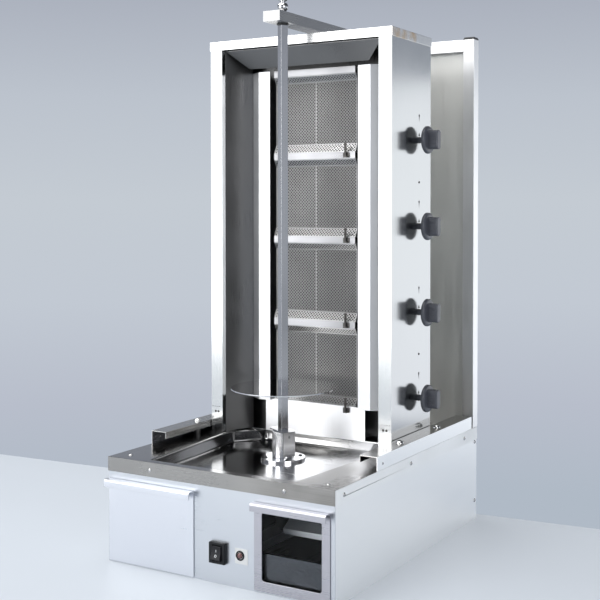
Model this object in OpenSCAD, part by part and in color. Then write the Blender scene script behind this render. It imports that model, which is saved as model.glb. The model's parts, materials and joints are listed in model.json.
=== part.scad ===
// Vertical gas broiler for a turning meat stack: a sheet-steel base with two drawers and a
// dished drip pan, a motor-driven square spindle held by an arm on a rear frame, and a cabinet
// of four burners that slides fore and aft between two guide rails.
// Millimetres. +X is the operator's right, +Y the back, +Z up. The origin is the centre of the
// base's underside.

/* [Base] */
// Width of the base, over the deck's side skirts
base_w = 500; // [490:1:540]
// Depth of the base, over the deck's front and rear skirts
base_d = 624; // [612:1:680]
// Height of the deck above the table
deck_z = 200; // [192:1:230]
// Thickness of the folded steel sheet
sheet = 1.5; // [1:0.1:1.8]
// Height of the skirt folded down all round the deck
skirt_h = 27; // [18:1:32]

/* [Drip pan] */
// Depth of the dish below the deck
pan_depth = 22; // [15:1:26]
// Width of the flat rim in front of the dish
pan_rim = 22; // [16:1:40]
// Width of the dish along its front edge
pan_front_w = 316; // [280:1:340]
// Width of the dish at its widest, towards the back
pan_back_w = 366; // [345:1:372]
// Length of the dish from front to back
pan_len = 350; // [330:1:370]
// How far the sloped wall of the dish runs inwards
pan_wall_run = 10; // [6:1:20]
// Radius of the drain hole over the right drawer
drain_r = 8; // [5:0.5:10]

/* [Guide rails] */
// Width of each folded rail
rail_w = 36; // [34:1:38]
// Height of each folded rail
rail_h = 26; // [22:1:30]
// Height of the lip on a rail's inner side
rail_lip = 13; // [8:1:15]
// Distance from the front of the base to the right rail
rail_front = 152; // [145:1:165]
// How much further forward the left rail lies
rail_lead = 20; // [0:1:25]
// Distance from a rail's front end to its front bolt
rail_bolt_front = 128; // [60:1:150]
// Distance from a rail's rear end to its rear bolt
rail_bolt_back = 142; // [60:1:160]

/* [Fasteners] */
// Radius of the dome-headed bolts
bolt_r = 4; // [3:0.5:4]
// Radius of the bolts' domed heads
bolt_head_r = 8; // [6.5:0.5:9]
// Radius of the small screws' heads
screw_head_r = 4; // [3:0.5:4.5]

/* [Rear frame and arm] */
// Side of the square frame tube
frame_tube = 25; // [20:1:30]
// Height of the rear frame above the deck
frame_h = 834; // [824:1:900]
// Wall of the frame tube
frame_wall = 1.5; // [1:0.1:2]
// How far the rear panel lies behind the face of the frame
panel_recess = 16; // [8:1:17]
// Width of the arm that holds the top of the spindle
arm_w = 38; // [32:1:50]
// Height of the arm
arm_h = 20; // [16:1:30]
// Wall of the arm's tube
arm_wall = 2; // [1.5:0.1:3]
// How far the arm reaches past the spindle
arm_reach = 41; // [25:1:60]

/* [Spindle and drive] */
// Distance from the front of the base to the spindle's axis
spindle_from_front = 231; // [215:1:240]
// Side of the square spindle
spindle_side = 15; // [12:0.5:16]
// Angle at which the spindle stands at rest
spindle_turn = -30; // [-45:1:45]
// Radius of the drive cup that the spindle stands in
cup_r = 21.5; // [18:0.5:26]
// Height of the drive cup
cup_h = 50; // [40:1:60]
// Radius of the bearing flange on the pan
flange_r = 44; // [38:1:55]
// Radius of the drive shaft
shaft_r = 7.5; // [6:0.5:9]
// Radius of the meat disc
disc_r = 102.5; // [80:0.5:105]
// Thickness of the meat disc
disc_t = 2; // [1.5:0.1:3]
// Height of the meat disc above the deck
disc_h = 118; // [90:1:200]
// Radius of the pin that centres the top of the spindle
pin_r = 6; // [5:0.5:7]

/* [Drawers] */
// Width of the left drawer's front
left_drawer_w = 200; // [170:1:202]
// Width of the right drawer's front
right_drawer_w = 154; // [150:1:156]
// Depth of the drawers behind the front panel
drawer_d = 390; // [300:1:420]
// Height of the left drawer's box
left_box_h = 95; // [60:1:110]
// Height of the right drawer's box
right_box_h = 58; // [40:1:66]
// How far the folded handle lips stand out
lip_d = 15; // [12:1:20]
// Height of the folded handle lips
lip_h = 14; // [12:1:16]
// Width of the window in the right drawer
window_w = 121.5; // [90:0.5:124]
// Height of the window in the right drawer
window_h = 122; // [90:1:124]
// Thickness of the window pane
pane_t = 3; // [2:0.5:4]

/* [Switch and lamp] */
// Width of the switch housing
switch_w = 34; // [30:1:38]
// Height of the switch housing
switch_h = 38; // [36:1:44]
// How far the switch housing stands out
switch_proud = 8; // [6:0.5:10]
// Radius of the lamp's bezel
lamp_r = 9; // [8:0.5:12]

/* [Burner cabinet] */
// Depth of the cabinet
cabinet_d = 177; // [172:1:190]
// Height of the cabinet above the deck
cabinet_h = 820; // [806:1:822]
// Gap between the cabinet's sides and the rails
cabinet_gap = 2; // [1:0.5:5]
// Distance from the spindle's axis to the cabinet's front
cabinet_from_spindle = 53; // [50:1:58]
// Width of the stiles beside the open bay
stile_w = 28; // [20:1:34]
// Height of the skirt on the cabinet's top cover
cover_skirt = 18; // [12:1:22]

/* [Burners] */
// Width of each burner
burner_w = 194; // [180:1:200]
// Distance from one burner to the next
burner_pitch = 172.5; // [160:0.5:173]
// Height of the burner stack's foot above the deck
stack_foot = 63; // [54:1:66]
// Height of the face of the shelves between burners
shelf_h = 14; // [8:0.5:16]
// How far the shelves stand out in front of the guards
shelf_proud = 9; // [4:0.5:10]
// Height of the sloped lip under a guard's face
lip_low = 17; // [8:0.5:20]
// Height of the sloped lip over a guard's face
lip_high = 13; // [6:0.5:16]
// How far the burner guards lie behind the cabinet's front
guard_recess = 74.5; // [70:0.5:80]
// Width of the flat face of the shields beside the burners
shield_w = 28; // [20:1:32]
// Depth of the folded rim of a guard
guard_rim = 8; // [6:0.5:10]
// Spacing of the bars in a guard
guard_pitch = 23; // [18:0.5:30]
// Width of the bars in a guard
guard_bar = 5; // [3:0.5:8]
// Depth of a burner's box behind its guard
box_d = 22; // [20:0.5:24]

/* [Gas valves and knobs] */
// Distance from the cabinet's front to the knobs' axes
knob_from_front = 122.5; // [121:0.5:126]
// How far each knob's axis lies below the middle of its burner
knob_drop = 57.5; // [40:0.5:60]
// Radius of a knob's skirt
knob_r = 27.5; // [22:0.5:30]
// Depth of a knob's skirt
knob_skirt = 8; // [5:0.5:10]
// Depth of a knob's grip
knob_grip = 20; // [14:0.5:24]
// Gap between the side panel and the back of a knob's skirt
knob_gap = 16; // [10:0.5:20]
// Travel of a knob when it is pushed in to light a burner
push = 3; // [2:0.5:4]
// Side of the square gas manifold
manifold_side = 22; // [18:1:24]
// Radius of the threaded gas inlet
inlet_r = 10.48; // [8:0.01:12]

/* [Hidden] */
$fn = 48;
burners = 4;
// Clearances: between parts that move past each other, between a shaft and its bore, and
// between a fastener and its hole
slide_gap = 0.3;
run_gap = 0.05;
hole_gap = 0.3;
// A length by which a cutting shape passes the face that it cuts
over = 1;

// Base
front_y = -base_d / 2;
back_y = base_d / 2;
shell_half = base_w / 2 - sheet;
spindle_y = front_y + spindle_from_front;
pan_floor = deck_z - pan_depth;
pan_y = front_y + pan_rim;
pan_corner = [48, 54];

// Rails
rail_x = base_w / 2 - rail_w / 2;
rail_y = front_y + rail_front;
rail_len = back_y - frame_tube - 8 - rail_y;
rail_bolts_y = [rail_y + rail_bolt_front, rail_y + rail_len - rail_bolt_back];
screw_r = 1.7;
small_screw_r = 1.2;
small_head_r = 2.5;
spacer_r = bolt_r + 3;
bolt_head_h = 5;

// Frame and arm
frame_top = deck_z + frame_h;
post_x = base_w / 2 - frame_tube / 2;
frame_y = back_y - frame_tube;
arm_top = frame_top + arm_h;
arm_y = spindle_y - arm_reach;
arm_bolt_x = 9;
bush_r = pin_r + 3;
bush_lip = 2.5;
cap_h = 5;

// Spindle and drive
flange_t = 5;
flange_top = pan_floor + flange_t;
cup_z = flange_top + 0.5;
cup_top = cup_z + cup_h;
socket_z = cup_z + 10;
spindle_top = frame_top - bush_lip - 0.5;
pin_tip_r = pin_r - 2;
pin_depth = 20;
strap_t = 2;
strap_w = spindle_side + 11;
gearbox_size = [76, 100, 48];
bracket_t = 3;
bracket_z = pan_floor - sheet - 10.5;
gearbox_z = bracket_z - gearbox_size[2];
motor_r = 34;
motor_h = 85;
disc_z = deck_z + disc_h;
hub_r = spindle_side / sqrt(2) + 3.5;

// Drawers
front_t = 2;
front_face = front_y + sheet - slide_gap;
drawer_foot = 3;
drawer_top = deck_z - skirt_h - 13;
left_x = -base_w / 2 + 4;
right_x = base_w / 2 - 10 - right_drawer_w;
drain_at = [right_x + right_drawer_w / 2 - 35, pan_y + 125];
chute_back = 65;
chute_front = 75;
chute_drop = 26;
box_inset = 11;
runner_top = 12;
box_z = runner_top + slide_gap;
runner_t = 1.5;
opening_top = drawer_top - 8;
window_z = drawer_foot + 18;
window_x = right_x + right_drawer_w / 2;
window_corner = 6;

// Switch and lamp
panel_face = front_y + sheet;
switch_at = [9.6, 57];
rocker_w = 20;
rocker_r = 13.6;
rocker_tilt = 10;
rocker_y = panel_face - switch_proud + 3;
lamp_at = [55.6, 58.3];
gland_at = [-shell_half + 78.5, 45];
gland_r = 9;
gland_bore = 4;

// Cabinet
cab_half = base_w / 2 - rail_w - cabinet_gap;
cab_y = spindle_y + cabinet_from_spindle;
cab_back = cab_y + cabinet_d;
cab_top = deck_z + cabinet_h;
base_plate_t = 2;
foot_z = deck_z + slide_gap;
floor_z = foot_z + base_plate_t;
tab_h = 54;
flange_half = rail_x - spacer_r - 1;
cutout_half = cab_half - 36;
guard_y = cab_y + guard_recess;
box_y = guard_y + sheet + guard_rim;
liner_y = box_y + box_d;
ceiling_z = cab_top - cover_skirt - sheet;

// Burners
stack_z = deck_z + stack_foot;
guard_h = burner_pitch - shelf_h;
stack_top = stack_z + burners * burner_pitch;
lip_front = guard_y - shelf_proud + sheet;
tile_t = 13;
panel_side = 22;
probe_r = 2.5;
probe_len = 30;
probe_inset = 20;
shield_tail = [burner_w / 2 + 33 + shield_w, guard_y + 3.5];
bay_y = cab_y + 12;
hood_d = 28;
hood_taper = 44;
hood_drop = 36;
nipple_x = 60;
nipple_r = 8;

// Valves and knobs
knob_y = cab_y + knob_from_front;
sleeve_r = 6;
plunger_r = 3;
valve_r = 11;
valve_len = 50;
valve_x = cab_half - sheet - valve_len;
sleeve_x = valve_x + 24;
plunger_x = valve_x + 10;
knob_x = cab_half + knob_gap;
manifold_x = cab_half - 34;
manifold_y = knob_y + 18;
tube_r = 5;
inlet_z = floor_z + 48;
inlet_out = 24;

// Height of the middle of a burner, and of its knob, counted from the top
function burner_z(n) = stack_z + (burners - n + 0.5) * burner_pitch;
function knob_z(n) = burner_z(n) - knob_drop;

// A box given by its lowest and highest corners
module block(low, high) {
    translate(low) cube(high - low);
}

// A round bar along X, Y or Z that starts at a point
module bar_x(r, len) {
    rotate([0, 90, 0]) cylinder(r = r, h = len);
}
module bar_y(r, len) {
    rotate([-90, 0, 0]) cylinder(r = r, h = len);
}

// The same shape on the left and on the right
module both_sides() {
    children();
    mirror([1, 0, 0]) children();
}

// ---------------------------------------------------------------- base

// One sheet folded into a floor and two sides
module base_shell() {
    color("gainsboro") difference() {
        block([-shell_half, front_y + 2 * sheet, 0],
            [shell_half, back_y - 2 * sheet, deck_z - sheet]);
        block([-shell_half + sheet, front_y, sheet],
            [shell_half - sheet, back_y, deck_z]);
        both_sides() side_screw_places() screw_hole();
    }
}

module front_panel() {
    color("whitesmoke") difference() {
        block([-shell_half, panel_face, 0], [shell_half, panel_face + sheet, deck_z - sheet]);
        drawer_opening(left_x, left_drawer_w);
        drawer_opening(right_x, right_drawer_w);
        block([switch_at[0] - switch_w / 2 + 3, panel_face - over, switch_at[1] - switch_h / 2 + 3],
            [switch_at[0] + switch_w / 2 - 3, panel_face + sheet + over,
            switch_at[1] + switch_h / 2 - 3]);
        translate([lamp_at[0], panel_face - over, lamp_at[1]])
            bar_y(lamp_r - 2 + hole_gap, sheet + 2 * over);
        front_screw_places() screw_hole();
    }
}

// The hole in the front panel that a drawer's box runs through
module drawer_opening(x, w) {
    block([x + box_inset - 4, panel_face - over, box_z - 3],
        [x + w - box_inset + 4, panel_face + sheet + over, opening_top]);
}

// Rear cover of the base, with cooling slots for the motor and the cable's gland
module back_panel() {
    slot = [60, 5];
    color("gainsboro") difference() {
        block([-shell_half, back_y - 2 * sheet, 0], [shell_half, back_y - sheet, deck_z - sheet]);
        for (x = [-40, 40], row = [0:5])
            translate([x - slot[0] / 2, back_y - 2 * sheet - over, 60 + 12 * row])
                cube([slot[0], sheet + 2 * over, slot[1]]);
        translate([gland_at[0], back_y - 2 * sheet - over, gland_at[1]])
            bar_y(gland_r + hole_gap, sheet + 2 * over);
    }
}

// Outline of the dish at the deck, drawn in by an amount
module pan_outline(inset) {
    front_half = pan_front_w / 2 - inset;
    back_half = pan_back_w / 2 - inset;
    low = pan_y + inset;
    high = pan_y + pan_len - inset;
    polygon([[-front_half, low], [front_half, low], [back_half, high - pan_corner[1]],
        [back_half - pan_corner[0], high], [-back_half + pan_corner[0], high],
        [-back_half, high - pan_corner[1]]]);
}

// A block with the dish's sloped sides, drawn in by an amount, between two heights
module pan_block(inset, low, high) {
    hull() {
        translate([0, 0, high]) linear_extrude(sheet) pan_outline(inset);
        translate([0, 0, low]) linear_extrude(sheet) pan_outline(inset + pan_wall_run);
    }
}

// Deck with its skirts and the dished drip pan in one piece
module deck_pan() {
    color("silver") difference() {
        union() {
            difference() {
                block([-base_w / 2, front_y, deck_z - skirt_h], [base_w / 2, back_y, deck_z]);
                block([-base_w / 2 + sheet, front_y + sheet, deck_z - skirt_h - over],
                    [base_w / 2 - sheet, back_y - sheet, deck_z - sheet]);
            }
            pan_block(-sheet, pan_floor - sheet, deck_z - sheet);
        }
        pan_block(0, pan_floor, deck_z);
        translate([0, spindle_y, pan_floor - sheet - over])
            cylinder(r = flange_r / 2 - 3, h = sheet + 2 * over);
        translate([drain_at[0], drain_at[1], pan_floor - sheet - over])
            cylinder(r = drain_r, h = sheet + 2 * over);
        flange_screw_places() screw_hole(flange_t + sheet + over);
        both_sides() side_screw_places() screw_hole();
        front_screw_places() screw_hole();
        top_screw_places() screw_hole();
        rail_bolt_places(deck_z) bolt_hole(2 * sheet);
    }
}

// Chute under the drain: it leads the fat down and forward into the right drawer
module drip_chute() {
    half_w = right_drawer_w / 2 - box_inset - 4;
    top = [drain_at[1] + chute_back, pan_floor - sheet];
    foot = [drain_at[1] - chute_front, box_z + right_box_h + chute_drop];
    slope = (top - foot) / norm(top - foot);
    down = sheet * [slope[1], -slope[0]];
    color("lightgray") translate([window_x - half_w, 0, 0]) rotate([90, 0, 90])
        linear_extrude(2 * half_w) {
            polygon([top, foot, foot + down, top + down]);
            translate(top - [0, sheet]) square([14, sheet]);
            translate(foot - [0, 10]) square([sheet, 10]);
        }
}

// ---------------------------------------------------------------- fasteners

// A small domed screw that points along -Z from its seat
module screw(len = 2 * sheet + 2) {
    rotate_extrude()
        intersection() {
            translate([0, screw_head_r / 2 - screw_dome_r()]) circle(screw_dome_r());
            square([screw_head_r, screw_head_r]);
        }
    translate([0, 0, -len]) cylinder(r = screw_r, h = len);
}
// The ball whose cap, half a head radius high, is as wide as a screw's head
function screw_dome_r() = (pow(screw_head_r, 2) + pow(screw_head_r / 2, 2)) / screw_head_r;

module screw_hole(len = 2 * sheet + 3) {
    translate([0, 0, -len]) cylinder(r = screw_r + hole_gap / 2, h = len + over);
}

module side_screw_places() {
    for (y = [30, 292, 551])
        translate([base_w / 2, front_y + y * base_d / 624, deck_z - skirt_h / 2])
            rotate([0, 90, 0]) children();
}
module front_screw_places() {
    for (x = [-148, 148])
        translate([x, front_y, deck_z - skirt_h / 2 - 1]) rotate([90, 0, 0]) children();
}
module top_screw_places() {
    for (x = [-219, 219])
        translate([x, front_y + 30, deck_z]) children();
}
module flange_screw_places() {
    for (a = [45:90:315])
        translate([0, spindle_y, 0]) rotate(a) translate([flange_r - 9, 0, flange_top])
            children();
}

module deck_screws() {
    color("white") {
        both_sides() side_screw_places() screw();
        front_screw_places() screw();
        top_screw_places() screw();
        flange_screw_places() screw(flange_t + sheet + 3);
    }
}

// A domed bolt that points along -Z from its seat
module bolt(len) {
    rotate_extrude()
        intersection() {
            translate([0, bolt_head_h - bolt_dome_r()]) circle(bolt_dome_r());
            square([bolt_head_r, bolt_head_h]);
        }
    translate([0, 0, -len]) cylinder(r = bolt_r, h = len);
}
function bolt_dome_r() = (pow(bolt_head_r, 2) + pow(bolt_head_h, 2)) / (2 * bolt_head_h);

module bolt_hole(len) {
    translate([0, 0, -len]) cylinder(r = bolt_r + hole_gap, h = len + over);
}

module rail_bolt_places(z) {
    for (y = rail_bolts_y) {
        translate([rail_x, y, z]) children();
        translate([-rail_x, y - rail_lead, z]) children();
    }
}
module arm_bolt_places(z) {
    both_sides() translate([arm_bolt_x, frame_y + frame_tube / 2, z]) children();
}

module dome_bolts() {
    color("silver") {
        rail_bolt_places(deck_z + rail_h) bolt(rail_h + sheet + 4);
        arm_bolt_places(arm_top) bolt(arm_h + frame_wall + 5);
    }
}

// ---------------------------------------------------------------- rails, frame and arm

// Fold of a rail: an outer wall on the deck, a flat top, and a short lip inwards
module rail_fold() {
    translate([base_w / 2 - sheet, 0]) square([sheet, rail_h]);
    translate([base_w / 2 - rail_w, rail_h - sheet]) square([rail_w, sheet]);
    translate([base_w / 2 - rail_w, rail_h - rail_lip]) square([sheet, rail_lip]);
}

module rail_run() {
    translate([0, rail_y + rail_len, deck_z])
        rotate([90, 0, 0]) linear_extrude(rail_len) rail_fold();
}

module guide_rails() {
    color("tan") difference() {
        union() {
            rail_run();
            translate([0, -rail_lead, 0]) mirror([1, 0, 0]) rail_run();
        }
        rail_bolt_places(deck_z + rail_h) bolt_hole(2 * sheet);
    }
}

module rail_spacers() {
    color("gray") rail_bolt_places(deck_z) difference() {
        cylinder(r = spacer_r, h = rail_h - sheet);
        translate([0, 0, rail_h - sheet]) bolt_hole(rail_h);
    }
}

module rear_posts() {
    inner = frame_tube - 2 * frame_wall;
    color("white") both_sides() translate([post_x, frame_y + frame_tube / 2, deck_z])
        difference() {
            linear_extrude(frame_h) square(frame_tube, center = true);
            translate([0, 0, -over]) linear_extrude(frame_h + 2 * over)
                square(inner, center = true);
        }
}

module top_tube() {
    half = base_w / 2 - frame_tube;
    color("white") difference() {
        block([-half, frame_y, frame_top - frame_tube], [half, back_y, frame_top]);
        block([-half - over, frame_y + frame_wall, frame_top - frame_tube + frame_wall],
            [half + over, back_y - frame_wall, frame_top - frame_wall]);
        arm_bolt_places(frame_top) bolt_hole(frame_wall + over);
    }
}

// Sheet that fills the frame, with its edges folded back
module rear_panel() {
    half = base_w / 2 - frame_tube;
    y = frame_y + panel_recess;
    color("lightgray") difference() {
        block([-half, y, deck_z], [half, back_y - sheet, frame_top - frame_tube]);
        block([-half + sheet, y + sheet, deck_z + sheet],
            [half - sheet, back_y + over, frame_top - frame_tube - sheet]);
    }
}

module post_caps() {
    plug = frame_tube - 2 * frame_wall - 2 * hole_gap;
    color("black") both_sides() translate([post_x, frame_y + frame_tube / 2, frame_top]) {
        linear_extrude(cap_h / 2) square(frame_tube, center = true);
        translate([0, 0, cap_h / 2]) linear_extrude(cap_h / 2)
            square(frame_tube - cap_h / 2, center = true);
        translate([0, 0, -8]) linear_extrude(8) square(plug, center = true);
    }
}

module top_arm() {
    color("white") difference() {
        block([-arm_w / 2, arm_y, frame_top], [arm_w / 2, back_y, arm_top]);
        block([-arm_w / 2 + arm_wall, arm_y + arm_wall, frame_top + arm_wall],
            [arm_w / 2 - arm_wall, back_y + over, arm_top - arm_wall]);
        translate([0, spindle_y, frame_top - over])
            cylinder(r = bush_r + run_gap, h = arm_h + 2 * over);
        arm_bolt_places(arm_top) bolt_hole(arm_h + over);
    }
}

module arm_bushing() {
    color("black") translate([0, spindle_y, frame_top - bush_lip]) difference() {
        union() {
            cylinder(r = bush_r + 2.5, h = bush_lip);
            cylinder(r = bush_r, h = bush_lip + arm_h);
        }
        translate([0, 0, -over])
            cylinder(r = pin_r + run_gap, h = bush_lip + arm_h + 2 * over);
    }
}

// Pull-up pin: its tip centres the spindle and its two beads are the grip
module top_pin() {
    seat = arm_top + slide_gap;
    bead = 9.5;
    grip_r = 11;
    color("lightgray") translate([0, spindle_y, 0]) {
        translate([0, 0, spindle_top - pin_depth])
            cylinder(r = pin_tip_r, h = pin_depth + 1);
        translate([0, 0, spindle_top + 1])
            cylinder(r = pin_r, h = seat - spindle_top + 3);
        translate([0, 0, seat]) cylinder(r = pin_r + 2, h = 3);
        translate([0, 0, seat + 3]) rotate_extrude() intersection() {
            union() {
                for (z = [bead, 3 * bead]) translate([grip_r - bead, z]) circle(bead);
                square([pin_r, 3 * bead]);
            }
            square(4 * bead);
        }
    }
}

// ---------------------------------------------------------------- drive and spindle

module at_spindle(z) {
    translate([0, spindle_y, z]) rotate(spindle_turn) children();
}

// Plate that hangs the gear motor under the pan on four posts
module motor_bracket() {
    size = [gearbox_size[0] + 14, gearbox_size[1] + 20];
    color("dimgray") translate([0, spindle_y + 15, bracket_z]) difference() {
        union() {
            translate([-size[0] / 2, -size[1] / 2, 0]) cube([size[0], size[1], bracket_t]);
            for (x = [-1, 1], y = [-1, 1])
                translate([x * (size[0] / 2 - 7), y * (size[1] / 2 - 7), 0])
                    cylinder(r = 5, h = pan_floor - sheet - bracket_z);
        }
        translate([0, -15, -over]) cylinder(r = shaft_r + 4, h = bracket_t + 2 * over);
    }
}

module gearbox() {
    size = gearbox_size;
    color("gray") translate([0, spindle_y, gearbox_z]) difference() {
        translate([-size[0] / 2, -30, 0]) cube(size);
        translate([0, 0, 8]) cylinder(r = shaft_r + run_gap, h = size[2]);
    }
}

// Gear motor's can, with its end cap
module motor() {
    color("slategray") translate([0, spindle_y + 36, gearbox_z - motor_h]) {
        translate([0, 0, 6]) cylinder(r = motor_r, h = motor_h - 6);
        cylinder(r = motor_r - 4, h = 6);
    }
}

// Fixed bearing on the pan's floor: the shaft turns in it
module bearing_flange() {
    color("silver") difference() {
        translate([0, spindle_y, 0]) union() {
            translate([0, 0, pan_floor]) cylinder(r = flange_r, h = flange_t);
            translate([0, 0, pan_floor - sheet - 5])
                cylinder(r = flange_r / 2 - 3 - hole_gap, h = sheet + 5 + flange_t);
        }
        translate([0, spindle_y, pan_floor - sheet - 5 - over])
            cylinder(r = shaft_r + run_gap, h = sheet + 5 + flange_t + 2 * over);
        flange_screw_places() screw_hole(flange_t + over);
    }
}

module drive_shaft() {
    foot = gearbox_z + 8 + hole_gap;
    color("silver") translate([0, spindle_y, foot]) cylinder(r = shaft_r, h = cup_z + 6 - foot);
}

// Cup on the shaft, with a square socket for the spindle's foot
module drive_cup() {
    socket = spindle_side + 2 * hole_gap;
    color("gainsboro") at_spindle(cup_z) difference() {
        cylinder(r = cup_r, h = cup_h);
        translate([0, 0, -over]) cylinder(r = shaft_r + run_gap, h = 6 + hole_gap + over);
        translate([0, 0, 10]) linear_extrude(cup_h) square(socket, center = true);
    }
}

// Strap over the cup: a tongue on one side, and a leg down the other
module cup_strap() {
    socket = spindle_side + 2 * hole_gap;
    leg_x = cup_r + 2.5;
    tongue = 2 * cup_r - strap_w / 2;
    leg_foot = 3.5;
    color("lightgray") at_spindle(cup_z) difference() {
        union() {
            translate([0, 0, cup_h]) linear_extrude(strap_t) {
                translate([-tongue, -strap_w / 2]) square([tongue + leg_x + strap_t, strap_w]);
                translate([-tongue, 0]) circle(strap_w / 2);
            }
            translate([leg_x, -strap_w / 2, leg_foot])
                cube([strap_t, strap_w, cup_h - leg_foot]);
        }
        translate([0, 0, cup_h - over]) linear_extrude(strap_t + 2 * over)
            square(socket, center = true);
        translate([leg_x - over, 0, cup_h - 8]) bar_x(2.5, strap_t + 2 * over);
    }
}

module spindle() {
    color("gainsboro") at_spindle(0) difference() {
        translate([0, 0, socket_z]) linear_extrude(spindle_top - socket_z)
            square(spindle_side, center = true);
        translate([0, 0, spindle_top - pin_depth - 2])
            cylinder(r = pin_tip_r + run_gap, h = pin_depth + 2 + over);
    }
}

module meat_disc() {
    socket = spindle_side + 2 * hole_gap;
    hub_h = 10;
    color("lightgray") at_spindle(disc_z) difference() {
        union() {
            cylinder(r = disc_r, h = disc_t);
            translate([0, 0, -hub_h]) cylinder(r = hub_r, h = hub_h);
        }
        translate([0, 0, -hub_h - over]) linear_extrude(hub_h + disc_t + 2 * over)
            square(socket, center = true);
        translate([0, 0, -hub_h / 2]) bar_x(2, hub_r + over);
    }
}

// ---------------------------------------------------------------- drawers

// Section of a drawer's front and its folded lip, from the side: y runs right, z up
module lip_section() {
    fold = 4;
    out = lip_d - front_t;
    translate([-front_t, drawer_foot]) square([front_t, drawer_top - drawer_foot - fold]);
    translate([-fold, drawer_top - fold]) fold_section(fold, 0);
    translate([-out, drawer_top - front_t]) square([out - fold, front_t]);
    translate([-out, drawer_top - fold]) fold_section(fold, 90);
    translate([-out - fold, drawer_top - lip_h]) square([front_t, lip_h - fold]);
}

// A quarter of a ring, as a fold in a sheet looks from its end
module fold_section(r, turn) {
    rotate(turn) intersection() {
        difference() {
            circle(r);
            circle(r - front_t);
        }
        square(r);
    }
}

module drawer_front(x, w) {
    translate([x + w, front_face, 0]) rotate([90, 0, -90]) linear_extrude(w)
        mirror([1, 0, 0]) lip_section();
}

// An open box of sheet with its walls inside the given size
module tray(low, high) {
    difference() {
        block(low, high);
        block(low + [sheet, sheet, sheet], [high[0] - sheet, high[1] - sheet, high[2] + over]);
    }
}

module left_drawer_front() {
    color("aliceblue") drawer_front(left_x, left_drawer_w);
}

module left_drawer_box() {
    color("silver") tray([left_x + box_inset, front_face, box_z],
        [left_x + left_drawer_w - box_inset, front_face + drawer_d, box_z + left_box_h]);
}

module right_drawer_front() {
    color("lightsteelblue") difference() {
        drawer_front(right_x, right_drawer_w);
        translate([window_x - window_w / 2, front_face + over, window_z])
            rotate([90, 0, 0]) linear_extrude(front_t + 2 * over) rounded_square();
    }
}

// The window's outline
module rounded_square() {
    c = window_corner;
    translate([c, 0]) square([window_w - 2 * c, window_h]);
    translate([0, c]) square([window_w, window_h - 2 * c]);
    for (x = [c, window_w - c], z = [c, window_h - c]) translate([x, z]) circle(c);
}

// Fat box: its own front wall stands behind the window
module right_drawer_box() {
    low = [right_x + box_inset, front_face, box_z];
    high = [right_x + right_drawer_w - box_inset, front_face + drawer_d - 20, box_z + right_box_h];
    wall_y = pane_t + 6;
    color("gray") difference() {
        block(low, high);
        block(low + [sheet, wall_y, sheet], [high[0] - sheet, high[1] - sheet, high[2] + over]);
        block(low + [sheet, -over, sheet], [high[0] - sheet, low[1] + wall_y - sheet, high[2] + over]);
    }
}

module drawer_window() {
    color("lightblue", 0.4)
        block([window_x - window_w / 2 - 2.5, front_face, window_z - 4],
            [window_x + window_w / 2 + 2.5, front_face + pane_t, window_z + window_h + 4]);
}

// Angles on the base's floor that the drawers' boxes run on
module drawer_runners() {
    for (d = [[left_x, left_drawer_w], [right_x, right_drawer_w]]) {
        runner(d[0] + box_inset - 0.5, 1);
        runner(d[0] + d[1] - box_inset + 0.5, -1);
    }
}

// One angle; its ledge points to the side that turn gives
module runner(x, turn) {
    color("dimgray") translate([x, front_y + 20, sheet]) rotate([90, 0, 180])
        linear_extrude(drawer_d - 40) scale([-turn, 1]) {
            translate([-runner_t, 0]) square([runner_t, runner_top + 10]);
            translate([0, runner_top - sheet - runner_t]) square([10, runner_t]);
        }
}

// ---------------------------------------------------------------- switch, lamp and gland

// Housing with a pocket for the rocker
module switch_housing() {
    half = [switch_w / 2, switch_h / 2];
    color("black") translate([switch_at[0], 0, switch_at[1]]) difference() {
        union() {
            block([-half[0], panel_face - switch_proud, -half[1]], [half[0], panel_face, half[1]]);
            block([-half[0] + 3.5, panel_face, -half[1] + 3.5],
                [half[0] - 3.5, panel_face + 26, half[1] - 3.5]);
        }
        block([-rocker_w / 2 - slide_gap, panel_face - switch_proud - over, -rocker_r - 0.5],
            [rocker_w / 2 + slide_gap, rocker_y + rocker_r + 0.5, rocker_r + 0.5]);
    }
}

// Rocker: round at the back, and a shallow V in front
module rocker() {
    color("dimgray") translate([switch_at[0] - rocker_w / 2, rocker_y, switch_at[1]])
        rotate([90, 0, 90]) rotate(-rocker_tilt) linear_extrude(rocker_w) intersection() {
            circle(rocker_r);
            polygon([[-5, 0], [-5 - rocker_r * sin(rocker_tilt), -rocker_r],
                [rocker_r, -rocker_r], [rocker_r, rocker_r],
                [-5 - rocker_r * sin(rocker_tilt), rocker_r]]);
        }
}

module indicator_lamp() {
    color("firebrick") translate([lamp_at[0], panel_face, lamp_at[1]]) rotate([90, 0, 0])
        rotate_extrude() {
            square([lamp_r, 2]);
            translate([0, -18]) square([lamp_r - 2, 18]);
            intersection() {
                translate([0, -1]) circle(lamp_r - 3);
                square([lamp_r, lamp_r]);
            }
        }
}

module cable_gland() {
    out = 18;
    color("black") translate([gland_at[0], back_y - sheet, gland_at[1]]) difference() {
        union() {
            bar_y(gland_r + 3, 4);
            bar_y(gland_r - 1, out);
            translate([0, -sheet - 4, 0]) bar_y(gland_r, sheet + 4);
        }
        translate([0, -sheet - 4 - over, 0]) bar_y(gland_bore, out + sheet + 4 + 2 * over);
    }
}

// ---------------------------------------------------------------- burner cabinet

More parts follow.
